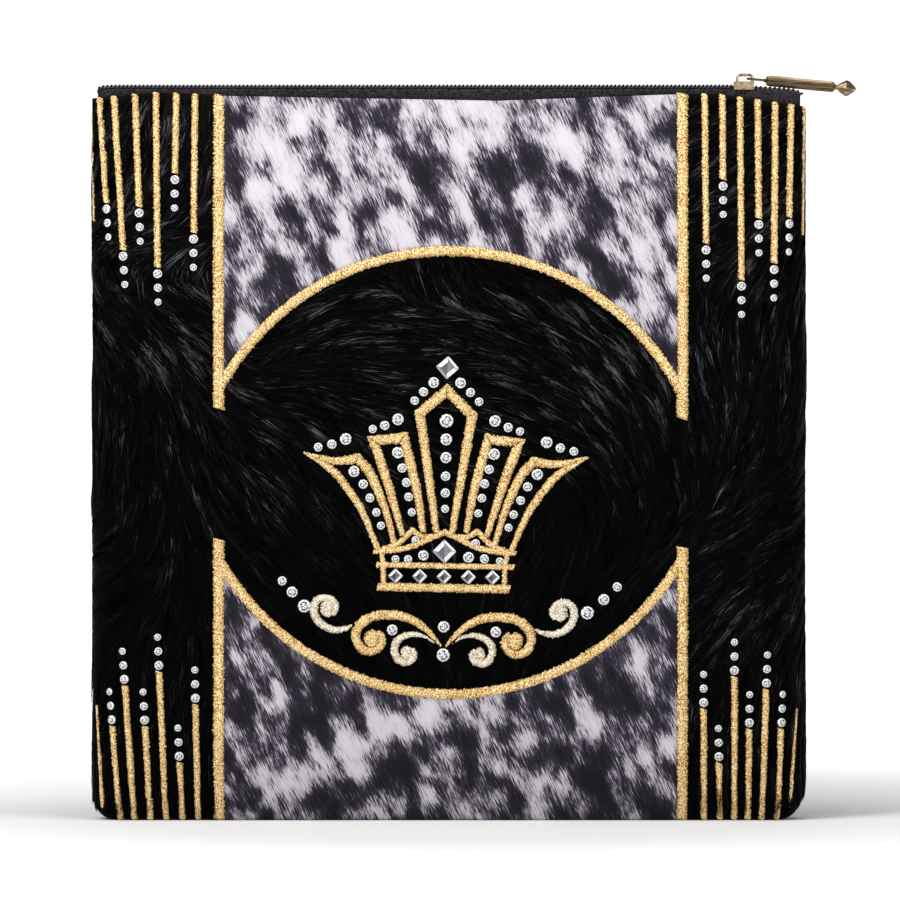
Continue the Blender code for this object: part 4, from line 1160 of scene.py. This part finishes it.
    def places(self) -> Places:
        """Places the hairs: each leans towards the middle line of its lock, and a lock's back is rounded."""
        random = np.random.default_rng(self.seed)
        s, z = self.scattered(self.spacing, random)
        keep = self.on_pile(s, z)
        s, z = s[keep], z[keep]
        way = self.way(s, z)
        lock_s, lock_z = self.scattered(math.sqrt(self.lock_across * self.lock_along), random)
        nearest = self.nearest_lock(s, z, way, lock_s, lock_z)
        ds, dz = lock_s[nearest] - s, lock_z[nearest] - z
        aside = dz * way[:, 0] - ds * way[:, 1]
        ahead = ds * way[:, 0] + dz * way[:, 1]
        mood = random.normal(0, 1, len(lock_s))[nearest]
        # Each lock's painted highlight strength, drawn at random.
        glow = random.beta(1.3, 2.2, len(lock_s))[nearest]
        length = self.length * np.clip(1 + random.normal(0, 0.2, len(s)) + 0.12 * mood, 0.5, 1.5)
        length *= np.where(z > self.top_from, self.top_share, 1.0)
        swerve = np.clip(aside, -self.lock_across, self.lock_across) * 0.7 + random.normal(0, 0.35 * MM, len(s))
        turn = np.arctan2(swerve, length) + 0.1 * mood
        along = way[:, 0] * np.cos(turn) - way[:, 1] * np.sin(turn)
        up = way[:, 0] * np.sin(turn) + way[:, 1] * np.cos(turn)
        length = self.cut_to_edges(s, z, along, up, length)
        sideways, upwards, out = POUCH.frame(s, z)
        across = sideways * along[:, None] + upwards * up[:, None]
        cross = np.cross(out, across)
        share = np.clip(-aside / self.lock_across, -1, 1)
        roll = share * 0.6 + 0.35 * mood + random.normal(0, 0.25, len(s))
        outward = out * np.cos(roll)[:, None] + cross * np.sin(roll)[:, None]
        length = self.short_of_stones(s, z, np.stack([along, up], axis=-1), length)
        crest = 1 - np.clip(np.abs(aside) / (0.55 * self.lock_across), 0, 1)
        size = np.stack([length, self.width * random.uniform(0.6, 1.3, len(s)), length * (0.7 + 0.35 * crest)], axis=-1)
        # Painted highlight: each lock's highlight times the strength painted at that place on the wall.
        shade = self.shade(glow, crest, ahead, random) * self.painted_highlight_at(s, z)
        return Places(POUCH.place(s, z), across, outward, size, np.clip(shade, 0, 1))

    def build(self) -> None:
        """Builds the pile in three parts, so that each stays a light piece."""
        everything = self.places()
        finish = CombedPile("combed dyed pile", 0.4, {"Specular IOR Level": 0.03}).make()
        cuts = np.quantile(everything.point[:, 0], [0, 1 / 3, 2 / 3, 1])
        for i, name in enumerate(("pile_left", "pile_middle", "pile_right")):
            low, high = cuts[i], cuts[i + 1] + (1 if i == 2 else 0)
            part = everything.only((everything.point[:, 0] >= low) & (everything.point[:, 0] < high))
            self.hand_over(self.setting.make(name, part, self.hair(), finish), "black_hide")


@dataclass(frozen=True)
class BorderPlan:
    """One gold border: its arc's middle and radius, and where its two bars end."""

    upper: bool
    x: float
    z: float
    radius: float
    left_end: float
    right_end: float
    bar_left: float = -110.0 * MM
    bar_right: float = 111.6 * MM
    width: float = 5.7 * MM

    def arc(self, grow: float, inset: float, steps: int) -> np.ndarray:
        """The arc between the bars as (s, z) rows, its radius grown and its ends inset."""
        radius = self.radius + grow
        first = math.acos((self.bar_left + inset - self.x) / radius)
        last = math.acos((self.bar_right - inset - self.x) / radius)
        angle = np.linspace(first, last, steps)
        up = 1 if self.upper else -1
        return np.stack([self.x + radius * np.cos(angle), self.z + up * radius * np.sin(angle)], axis=-1)


BORDERS = {
    "upper": BorderPlan(True, 0.2 * MM, 148.3 * MM, 124.8 * MM, 197.8 * MM, 193.0 * MM),
    "lower": BorderPlan(False, 0.5 * MM, 187.9 * MM, 127.2 * MM, 134.6 * MM, 130.8 * MM),
}


@dataclass
class Prints(Bag):
    """The two printed panels, laid on the hide between the bars and sewn down under the border."""

    thick: float = 1.0 * MM
    columns: int = 72
    rows: int = 40
    under_border: float = 0.9 * MM
    top_margin: float = 0.2 * MM
    lower_crowding: float = 0.75
    # For the upper and the lower panel: where its noise is cut from, and the noise's level between dark and white
    cuts: tuple = (((0.013, 0.0, 0.021), 0.908), ((0.087, 0.0, 0.053), 0.957))

    def build(self) -> None:
        """Builds both panels as sheets."""
        for (name, plan), (shift, middle) in zip(BORDERS.items(), self.cuts):
            inset = plan.width / 2 - self.under_border
            arc = plan.arc(inset, inset, self.columns + 1)
            edge = POUCH.seam_height(arc[:, 0]) - self.top_margin if plan.upper else np.full(len(arc), self.top_margin)
            rows = []
            for share in np.linspace(0, 1, self.rows + 1) ** (1 if plan.upper else self.lower_crowding):
                z = arc[:, 1] + (edge - arc[:, 1]) * share
                rows.append(POUCH.place(arc[:, 0], z, GAP + self.thick))
            points = np.array(rows)
            sockets = {"Specular IOR Level": 0.12}
            finish = PrintedHide(f"printed brushed hide {name}", 0.7, sockets, middle=middle, shift=shift)
            piece = self.open_sheet(f"print_{name}", points, not plan.upper, self.thick, finish.make())
            self.hand_over(piece, "printed_hide", (f"print_panel_{name}",))


@dataclass
class Embroidery(Bag):
    """All satin stitch: borders, corner stripes, the crown and the scrolls."""

    stitch: SatinStitch = field(default_factory=SatinStitch)
    stripe_width: float = 3.4 * MM
    edge_stripe_width: float = 1.9 * MM
    top_margin: float = 0.4 * MM
    base_margin: float = 1.2 * MM
    edge_stripe_foot: float = 6.5 * MM
    arc_share: float = 0.97
    bar_lift: float = 0.25 * MM
    stroke_lift: float = 0.04 * MM
    band_lift: float = 0.1 * MM
    crest: float = 1.5 * MM
    line_steps: int = 24
    bar_steps: int = 30
    arc_steps: int = 90
    head_share: float = 0.97
    head_steps: int = 17

    def threads(self, name: str, places: Places, thread: Thread, nodes: tuple) -> None:
        """Turns thread places into a finished piece of embroidery."""
        slot = "gold_thread" if thread is Thread.GOLD else "cream_thread"
        self.hand_over(self.setting.make(name, places, self.stitch.thread(), thread.value.once()), slot, nodes)

    def straight(self, x: float, low: float, high: float, width: float) -> np.ndarray:
        """A vertical line of stitching as (s, z, width) rows."""
        z = np.linspace(low, high, self.bar_steps)
        return np.stack([np.full(len(z), x), z, np.full(len(z), width)], axis=-1)

    def borders(self) -> None:
        """Builds both borders: the arc first, then the bars over its ends."""
        for seed, (name, plan) in enumerate(BORDERS.items()):
            arc = plan.arc(0, 0, self.arc_steps)
            band = np.column_stack([arc, np.full(len(arc), plan.width * self.arc_share)])
            parts = [self.stitch.along_line(band, 3 + seed)]
            for i, (x, end) in enumerate(((plan.bar_left, plan.left_end), (plan.bar_right, plan.right_end))):
                edge = float(POUCH.seam_height(np.array(x))) - self.top_margin if plan.upper else self.base_margin
                line = self.straight(x, min(end, edge), max(end, edge), plan.width)
                parts.append(self.stitch.along_line(line, 7 + 2 * seed + i, GAP + self.bar_lift))
            self.threads(f"border_{name}_stitch", Places.joined(*parts), Thread.GOLD, (f"border_{name}",))

    def stripe_line(self, corner: Corner, row: tuple) -> np.ndarray:
        """A stripe's line from the bag's edge to its end, as (s, z, width) rows."""
        x_edge, x_end, height, stones = row
        end = height * MM
        if corner.name.startswith("TOP"):
            edge = float(POUCH.seam_height(np.array(x_edge * MM))) - self.top_margin
        else:
            edge = self.base_margin if stones else self.edge_stripe_foot
        z = np.linspace(edge, end, self.line_steps)
        x = np.linspace(x_edge, x_end, self.line_steps) * MM
        width = np.full(self.line_steps, self.stripe_width if stones else self.edge_stripe_width)
        if corner is Corner.TOP_LEFT and not stones:
            width *= np.linspace(0.3, 1, self.line_steps)
        elif corner.name.startswith("BOTTOM") and not stones:
            width *= np.linspace(1.5, 1, self.line_steps)
        return np.stack([POUCH.along(x, z, self.crest), z, width], axis=-1)

    def stripes(self) -> None:
        """Builds each corner's seven stripes as one piece."""
        for seed, corner in enumerate(Corner):
            lines = [self.stripe_line(corner, row) for row in corner.value]
            parts = [self.stitch.along_line(line, 20 + 10 * seed + i) for i, line in enumerate(lines)]
            label = corner.name.lower()
            nodes = tuple(f"stripe_{label}_{i}" for i in range(1, len(lines) + 1))
            self.threads(f"stripes_{label}", Places.joined(*parts), Thread.GOLD, nodes)

    def crown(self) -> None:
        """Builds the crown's strokes, each a little over the last where they cross."""
        stitch = replace(self.stitch, spill=0.0)
        parts = []
        for i, (rows, mirrored) in enumerate(CROWN_STROKES):
            for sign in (1, -1) if mirrored else (1,):
                line = CROWN_FIGURE.band(np.array(rows) * (sign, 1, 1))
                parts.append(stitch.along_line(line, 60 + 2 * i + sign, GAP + self.stroke_lift * i))
        self.threads("crown_stitch", Places.joined(*parts), Thread.GOLD, ("crown",))

    def head(self, centre: tuple, diameter: float, seed: int) -> Places:
        """A scroll's round head, its threads laid side by side across it."""
        rows = np.linspace(-self.head_share, self.head_share, self.head_steps)
        points = np.array([[centre[0], centre[1] + r * diameter / 2] for r in (-1, 1)])
        spread = SCROLL_FIGURE.spread(points)
        line = np.stack([np.interp(rows, [-1, 1], spread[:, i]) for i in (0, 1)], axis=-1)
        width = diameter * MM * np.sqrt(1 - rows**2)
        level = replace(self.stitch, slant=0.0, stray=0.08 * MM)
        return level.along_run(np.column_stack([line, width]), seed, GAP)

    def scrolls(self) -> None:
        """Builds the six scrolls: bands that swell from a fine tail and curl into a round head."""
        for kind in ScrollKind:
            bands, head = kind.value
            for side, sign in (("left", -1), ("right", 1)):
                line = self.stitch.smooth_line(SCROLL_FIGURE.band(np.array(bands) * (sign, 1, 1)))
                seed = 90 + 10 * len(kind.name) + sign
                curl = self.stitch.along_run(line, seed, GAP + self.band_lift)
                places = Places.joined(curl, self.head((sign * head[0], head[1]), head[2], seed + 3))
                thread = Thread.GOLD if kind is ScrollKind.GOLD else Thread.CREAM
                label = kind.name.lower()
                self.threads(f"scroll_{side}_{label}_stitch", places, thread, (f"scroll_{side}_{label}",))

    def build(self) -> None:
        """Builds every line of stitching."""
        self.borders()
        self.stripes()
        self.crown()
        self.scrolls()


@dataclass
class Crystals(Bag):
    """Round and square flat-backed crystals with a table and a ring of facets."""

    height: float = 0.36
    foot: float = 0.5 * MM
    large: float = 6.0
    square_swell: float = 1.1
    round_sides: int = 10
    seed: int = 7

    def cut(self, outline: np.ndarray, rings: tuple, table_tones: tuple) -> Mesh:
        """A crystal of unit size from its girdle outline, each facet with its own painted reflection tone.

        Args:
            outline: rows of x and y round the girdle.
            rings: for each ring of facets its share of the outline, its height, its turn in steps and its painted
                reflection tones.
            table_tones: the painted reflection tones round the table, whose triangles meet in its middle.

        Returns:
            The mesh, with a tone attribute on its faces.
        """
        count = len(outline)
        points = [(x, y, 0.0) for x, y in outline]
        faces, tones = [], []
        for share, height, turn, pattern in rings:
            base = len(points) - count
            turned = outline * (1 - turn) + np.roll(outline, -1, axis=0) * turn
            points += [(x * share, y * share, self.height * height) for x, y in turned]
            for i in range(count):
                n = (i + 1) % count
                low, low_next, high, high_next = base + i, base + n, base + count + i, base + count + n
                if turn:
                    faces += [(low, low_next, high), (high, low_next, high_next)]
                    tones += [pattern[(2 * i) % len(pattern)], pattern[(2 * i + 1) % len(pattern)]]
                else:
                    faces.append((low, low_next, high_next, high))
                    tones.append(pattern[i % len(pattern)])
        table = len(points) - count
        points.append((0.0, 0.0, points[-1][2]))
        for i in range(count):
            faces.append((table + i, table + (i + 1) % count, len(points) - 1))
            tones.append(table_tones[i % len(table_tones)])
        mesh = mesh_from("crystal", np.array(points), faces, smooth=False)
        layer = mesh.attributes.new("tone", "FLOAT", "FACE")
        layer.data.foreach_set("value", tones)
        return mesh

    def brilliant(self) -> Mesh:
        """A round crystal: a rim painted bright, a ring of facets painted dark and bright, and a small table, all
        painted reflections.
        """
        rim = (1.0, 0.9, 0.97, 1.0, 0.85, 1.0, 0.55, 1.0)
        ring = (0.05, 1.0, 0.2, 0.0, 0.8, 0.1, 0.95, 0.3, 0.0, 0.6)
        rings = ((1.0, 0.3, 0.0, (0.9,)), (0.78, 0.75, 0.5, rim), (0.42, 1.0, 0.5, ring))
        return self.cut(self.round_outline(), rings, (0.95, 0.9, 0.35, 0.6, 1.0, 0.2))

    def step_cut(self, dark: float) -> Mesh:
        """A square crystal: two steps painted bright round a table painted darker and split from corner to corner, all
        painted reflections; dark is added to the table's tones.
        """
        rings = (
            (1.0, 0.3, 0.0, (0.6, 0.45, 0.3, 0.5)),
            (0.74, 0.8, 0.0, (1.0, 0.55, 0.8, 0.3, 0.62, 0.5, 1.0, 0.6)),
            (0.52, 1.0, 0.0, (0.4, 0.3, 1.0, 0.5, 0.25, 0.8, 0.95, 0.7)),
        )
        table = (0.18, 0.2, 0.0, 0.0, 0.0, 0.0, 0.22, 0.1)
        return self.cut(self.square_outline(), rings, tuple(dark + tone for tone in table))

    def round_outline(self) -> np.ndarray:
        """The girdle of a round crystal."""
        angle = np.arange(self.round_sides) * 2 * math.pi / self.round_sides
        return 0.5 * np.stack([np.cos(angle), np.sin(angle)], axis=-1)

    def square_outline(self) -> np.ndarray:
        """The girdle of a square crystal with cut corners, turned to stand on a corner."""
        corner, cut = 0.5, 0.46
        ring = [(corner, -cut), (corner, cut), (cut, corner), (-cut, corner)]
        return np.array(ring + [(-x, -y) for x, y in ring])

    def placed(self, spots: np.ndarray, turns: np.ndarray, lift: float) -> Places:
        """Places for crystals from rows of s, z and size, each turned about the wall's own normal."""
        s, z, size = spots.T
        sideways, upwards, out = POUCH.frame(s, z)
        across = sideways * np.cos(turns)[:, None] + upwards * np.sin(turns)[:, None]
        return Places(POUCH.place(s, z, lift), across, out, np.repeat(size[:, None], 3, axis=1), np.ones(len(s)))

    def small_spots(self) -> np.ndarray:
        """Every glued crystal, as rows of s, z and diameter."""
        spots = []
        lines = Embroidery(self.setting)
        for corner in Corner:
            for row in corner.value:
                if row[3]:
                    line = lines.stripe_line(corner, row)
                    way = line[-1, :2] - line[-2, :2]
                    way /= np.linalg.norm(way)
                    spots += [(*(line[-1, :2] + way * d * MM), size * MM) for d, size in STRIPE_STONES]
        groups = ((CROWN_FIGURE, CROWN_STONES), (CROWN_FIGURE, LONE_STONES), (SCROLL_FIGURE, SCROLL_STONES))
        for figure, stones in groups:
            for x, z, size in stones:
                for sign in (1, -1) if x and stones is CROWN_STONES else (1,):
                    spots.append((*figure.spread([(sign * x, z)])[0], size * MM))
        return np.array(spots)

    def lone(self, node: str, stone: tuple, turn: np.ndarray, shape: Mesh, finish: Material) -> None:
        """Builds one of the crown's larger crystals, which stands for its own node.

        Args:
            node: the CAD's node.
            stone: its x, z and size in the crown's figure, in mm.
            turn: one angle about the wall's normal.
            shape: the cut crystal.
            finish: its material.
        """
        spot = np.array([(*CROWN_FIGURE.spread([stone[:2]])[0], stone[2] * MM)])
        places = self.placed(spot, turn, self.foot)
        self.hand_over(self.setting.make(f"{node}_cut", places, shape, finish), "crystal", (node,))

    def build(self) -> None:
        """Builds the glued crystals as one piece and each of the larger ones by its node."""
        sockets = {"Specular IOR Level": 0.5, "Coat Weight": 0.15, "Coat Roughness": 0.02}
        finish = FoiledCrystal("foiled cut glass", 0.08, sockets).make()
        random = np.random.default_rng(self.seed)
        spots = self.small_spots()
        places = self.placed(spots, random.uniform(0, 2 * math.pi, len(spots)), self.foot)
        self.hand_over(self.setting.make("crystals_glued", places, self.brilliant(), finish), "crystal")
        for i, stone in enumerate(COLUMN_STONES, 1):
            self.lone(f"crystal_column_{i}", stone, random.uniform(0, 1, 1), self.brilliant(), finish)
        nodes = ("crystal_top", "crystal_centre", *(f"crystal_base_{i}" for i in range(1, 6)))
        for node, (x, z, size, turn) in zip(nodes, SQUARE_STONES):
            # Larger square stones get a lighter painted reflection on their table.
            shape = self.step_cut(0.2 if size > self.large else 0.0)
            self.lone(node, (x, z, size * self.square_swell), np.radians([turn]), shape, finish)


@dataclass
class Zip(Bag):
    """The zip: two woven tapes, and the coil's turns with the flat cord inside them."""

    tape_end: float = 168.4 * MM
    tape_foot: float = 336 * MM
    tape_thick: float = 0.9 * MM
    tape_columns: int = 150
    coil_pitch: float = 1.9 * MM
    coil_reach: float = 2.5 * MM
    coil_rise: float = 0.95 * MM
    coil_wire: float = 0.6 * MM
    coil_lean: float = 0.7 * MM
    coil_sink: float = 0.15
    coil_samples: int = 1200
    core: tuple[float, float] = (2.2 * MM, 0.95 * MM)
    core_sides: int = 10
    tape_top: tuple = ((-171, 349.4), (-160, 350.4), (140, 350.4), (155, 350.0), (165.3, 349.4), (168.4, 347.2))
    coil_line: tuple = (
        (-169, 349.7), (-166, 350.9), (-160, 351.2), (142, 351.2), (146, 350.7), (153, 350.3), (160, 349.8),
        (165, 349.3), (167.6, 348.5), (169, 347.3), (169.5, 346.3),
    )

    def tape(self, facing: int, finish: Material) -> None:
        """Builds one tape, from the seam inside the wall up to the coil."""
        x = np.linspace(-self.tape_end, self.tape_end, self.tape_columns + 1)
        rim = POUCH.seam_height(x)
        top = profile(self.tape_top, x)
        depth = POUCH.half_depth(rim)
        past = np.clip(np.abs(x) - POUCH.half_width_mid + depth, 0, None)
        inside = np.sqrt(np.clip((depth - Walls.thick) ** 2 - past**2, (1.2 * MM) ** 2, None))
        crest = self.coil_reach + 0.4 * MM + self.tape_thick
        crest = np.minimum(crest, np.maximum(inside, 2.2 * MM) + 0.6 * MM)
        # First up the wall's inside to the seam, then out over the coil's side
        rows = []
        for share in (0.0, 0.5, 1.0):
            z = self.tape_foot + share * (rim - self.tape_foot)
            rows.append(np.stack([x, facing * (inside - GAP), z], axis=-1))
        for share in (0.35, 0.7, 1.0):
            y = inside - GAP + (crest - inside + GAP) * share
            rows.append(np.stack([x, facing * y, rim + (top - rim) * share], axis=-1))
        side = "front" if facing < 0 else "back"
        piece = self.open_sheet(f"tape_{side}", np.array(rows), facing > 0, self.tape_thick, finish)
        self.hand_over(piece, "zip_tape", (f"zip_tape_{side}",))

    def loop(self) -> Mesh:
        """One turn of the coil of unit pitch: a wire loop that leans along the zip."""
        turns, ring = 14, 6
        points = []
        for i in range(turns):
            angle = 2 * math.pi * i / turns
            centre = np.array([self.coil_lean * math.sin(angle), math.cos(angle), math.sin(angle)])
            centre *= (1, self.coil_reach, self.coil_rise)
            out = np.array([0, math.cos(angle) / self.coil_reach, math.sin(angle) / self.coil_rise])
            out /= np.linalg.norm(out)
            for k in range(ring):
                bend = 2 * math.pi * k / ring
                points.append(centre + self.coil_wire * (out * math.cos(bend) + np.array([1, 0, 0]) * math.sin(bend)))
        faces = []
        for i in range(turns):
            j = (i + 1) % turns
            for k in range(ring):
                n = (k + 1) % ring
                faces.append((i * ring + k, i * ring + n, j * ring + n, j * ring + k))
        return mesh_from("loop", np.array(points), faces)

    def coil(self, name: str, low: float, high: float, finish: Material, node: str) -> None:
        """Builds a stretch of the coil between two places, in m."""
        fine = np.linspace(low, high, self.coil_samples)
        height = profile(self.coil_line, fine) - self.coil_rise * self.coil_sink
        gone = np.concatenate([[0], np.cumsum(np.hypot(np.diff(fine), np.diff(height)))])
        marks = np.linspace(0, gone[-1], int(gone[-1] / self.coil_pitch))
        x, z = np.interp(marks, gone, fine), np.interp(marks, gone, height)
        count = len(marks)
        slope = np.gradient(z, x)
        across = np.stack([np.ones(count), np.zeros(count), slope], axis=-1)
        outward = np.stack([-slope, np.zeros(count), np.ones(count)], axis=-1)
        places = Places(np.stack([x, 0 * x, z], axis=-1), across, outward, np.ones((count, 3)), np.ones(count))
        self.hand_over(self.setting.make(name, places, self.loop(), finish), "zip_coil", (node,))
        self.filler(f"{name}_cord", places)

    def filler(self, name: str, places: Places) -> None:
        """Builds the flat cord that fills a stretch of the coil, its grey colour painted glints between the black
        turns.
        """
        count, sides = len(places.point), self.core_sides
        normal = unit(places.outward)
        rings = []
        for angle in np.arange(sides) * 2 * math.pi / sides:
            y = np.array([0, self.core[0] * math.cos(angle), 0])
            rings.append(places.point + y + normal * self.core[1] * math.sin(angle))
        ends = [tuple(reversed(range(sides))), tuple(range(sides * (count - 1), sides * count))]
        faces = flipped(grid_faces(count, sides, closed=True) + ends)
        sockets = {"Specular IOR Level": 0.5}
        # The cord is real; its grey colour is painted glints that show between the coil's black turns.
        cord = NylonCoil("filler cord of the coil", 0.3, sockets, colour="#4A484C", light="#77757A").once()
        self.hand_over(add_piece(name, mesh_from(name, np.stack(rings, axis=1), faces), cord), "zip_coil")

    def build(self) -> None:
        """Builds both tapes, and the coil before and past the slider."""
        woven = WovenTape("woven polyester tape", 0.85, {"Specular IOR Level": 0.15}).make()
        for facing in (-1, 1):
            self.tape(facing, woven)
        nylon = NylonCoil("moulded coil", 0.22, {"Specular IOR Level": 0.4}).make()
        self.coil("coil_closed", -168 * MM, 136.6 * MM, nylon, "zip_coil")
        self.coil("coil_open", 146.6 * MM, 168.4 * MM, nylon, "zip_coil_end")


@dataclass
class Hardware(Bag):
    """The slider, the wire eye and the faceted bar of the puller."""

    pivot: Vector = field(default_factory=lambda: Vector((143.2 * MM, 0, 355.2 * MM)))
    slope: float = math.radians(5.5)

    def bar(self) -> Mesh:
        """The bar's mesh: a long faceted body with engraved lines, a neck and a pointed finial."""
        half = [(0.0, 2.6), (1.35, 2.6), (2.2, 1.6), (2.2, 0.28), (1.9, 0.12), (1.9, -0.1), (2.2, -0.26)]
        half += [(2.2, -1.05), (1.95, -1.2), (1.95, -1.4), (2.05, -1.55), (1.35, -2.6), (0.0, -2.6)]
        ring = [(-y, z) for y, z in half] + [(y, z) for y, z in half[-2:0:-1]]
        stations = [(7.6, 0.3), (8.7, 0.36), (8.9, 0.62), (9.6, 0.94), (11.0, 1.0)]
        stations += [(40.2, 1.0), (41.4, 0.92), (42.0, 0.55), (42.3, 0.5)]
        points, count = [], len(ring)
        for x, scale in stations:
            points += [(x * MM, y * scale * MM, z * scale * MM) for y, z in ring]
        faces = grid_faces(len(stations), count, closed=True)
        faces += [tuple(range(count)), tuple(reversed(range(len(points) - count, len(points))))]
        shape = bmesh.new()
        body = mesh_from("bar", np.array(points), faces, smooth=False)
        shape.from_mesh(body)
        finial = [(42.0, 1.25, 1.25), (43.2, 1.15, 1.15), (43.9, 1.5, 1.9), (47.4, 2.6, 3.9), (49.0, 2.4, 3.4)]
        finial += [(51.6, 0.9, 1.2), (52.2, 0.3, 0.35)]
        sides = 8
        verts = []
        for x, deep, high in finial:
            angle = np.arange(sides) * 2 * math.pi / sides
            corners = [(x * MM, deep * math.cos(a) * MM, high * math.sin(a) * MM) for a in angle]
            verts.append([shape.verts.new(corner) for corner in corners])
        for low, high in zip(verts, verts[1:]):
            for i in range(sides):
                n = (i + 1) % sides
                shape.faces.new((low[i], high[i], high[n], low[n]))
        shape.faces.new(verts[0])
        shape.faces.new(verts[-1][::-1])
        bmesh.ops.recalc_face_normals(shape, faces=shape.faces)
        shape.transform(Matrix.Translation(self.pivot) @ Matrix.Rotation(self.slope, 4, "Y"))
        mesh = bpy.data.meshes.new("pull_bar_facets")
        shape.to_mesh(mesh)
        shape.free()
        bpy.data.meshes.remove(body)
        return mesh

    def build(self, nodes: dict) -> None:
        """Builds the bar and dresses the CAD's own slider and wire eye."""
        brass = AntiqueBrass("antiqued brass plating", 0.34, {"Metallic": 1.0}).make()
        piece = add_piece("pull_bar_facets", self.bar(), brass)
        edge = piece.modifiers.new("Edge", "BEVEL")
        edge.width = 0.12 * MM
        edge.segments = 1
        edge.limit_method = "ANGLE"
        self.hand_over(piece, "antique_brass", ("pull_bar",), "puller")
        tones = {"recess": "#75624C", "body": "#BDA888", "rubbed": "#E8D6B8", "drawn": (1.0, 1.0, 1.0)}
        bright = AntiqueBrass("rubbed brass plating", 0.34, {"Metallic": 1.0}, **tones).make()
        for name, plating in (("zip_slider", bright), ("pull_link", brass)):
            nodes[name].data.materials.clear()
            nodes[name].data.materials.append(plating)
            log.info("%s: the CAD's own shape in %s", name, plating.name)


@dataclass
class Studio:
    """A pale floor, soft lights, and the camera square to the front from a long way off."""

    distance: float = 5.0
    frame_width: float = 432 * MM
    aim: tuple[float, float, float] = (0.48 * MM, 0.0, 177.1 * MM)
    elevation: float = math.radians(1.6)
    floor_size: float = 40.0
    sky: float = 0.26
    sky_seen: float = 1.2
    sensor: float = 36.0

    def light(self, name: str, place: tuple, size: tuple, power: float, colour: str = "#FFFFFF") -> None:
        """Adds a soft box that faces the bag."""
        data = bpy.data.lights.new(name, "AREA")
        data.shape = "RECTANGLE"
        data.size, data.size_y = size
        data.energy = power
        data.color = linear(colour)[:3]
        lamp = bpy.data.objects.new(name, data)
        lamp.location = place
        lamp.rotation_euler = (Vector(self.aim) - Vector(place)).to_track_quat("-Z", "Y").to_euler()
        bpy.context.scene.collection.objects.link(lamp)

    def build(self) -> None:
        """Builds floor, world, lights and camera."""
        half = self.floor_size / 2
        corners = np.array([(-half, -half, 0), (half, -half, 0), (half, half, 0), (-half, half, 0)])
        finish = GlowingFloor("pale floor", 0.9, {"Base Color": linear("#F4F4F4")})
        floor = add_piece("floor", mesh_from("floor", corners, [(0, 1, 2, 3)], smooth=False), finish.make())
        world = bpy.data.worlds.new("studio")
        world.use_nodes = True
        seen = add_node(world.node_tree, "ShaderNodeLightPath").outputs["Is Camera Ray"]
        inputs = {"Value": seen, "To Min": self.sky, "To Max": self.sky_seen}
        strength = add_node(world.node_tree, "ShaderNodeMapRange", inputs)
        background = world.node_tree.nodes["Background"]
        background.inputs["Color"].default_value = linear("#FFFFFF")
        world.node_tree.links.new(strength.outputs["Result"], background.inputs["Strength"])
        bpy.context.scene.world = world
        bpy.context.scene.view_settings.view_transform = "Standard"
        self.light("key", (-1.1, -1.3, 1.5), (0.8, 0.8), 24)
        self.light("fill", (1.4, -1.5, 0.7), (0.9, 1.2), 6.5)
        self.light("top", (0.0, -0.35, 1.5), (1.4, 0.5), 10)
        lens = bpy.data.cameras.new("camera")
        lens.sensor_width = self.sensor
        lens.lens = self.sensor * self.distance / self.frame_width
        lens.clip_end = 100
        camera = bpy.data.objects.new("camera", lens)
        back = Vector((0, -math.cos(self.elevation), math.sin(self.elevation)))
        camera.location = Vector(self.aim) + back * self.distance
        camera.rotation_euler = (-back).to_track_quat("-Z", "Y").to_euler()
        bpy.context.scene.collection.objects.link(camera)
        bpy.context.scene.camera = camera


def main() -> None:
    """Loads the frame and builds every sub-assembly in order."""
    logging.basicConfig(level=logging.INFO, format="%(name)s: %(message)s")
    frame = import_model()
    Studio().build()
    setting = Setting()
    Walls(setting).build()
    Pile(setting).build()
    Prints(setting).build()
    Embroidery(setting).build()
    Crystals(setting).build()
    Zip(setting).build()
    Hardware(setting).build(frame["nodes"])


if __name__ == "__main__":
    main()
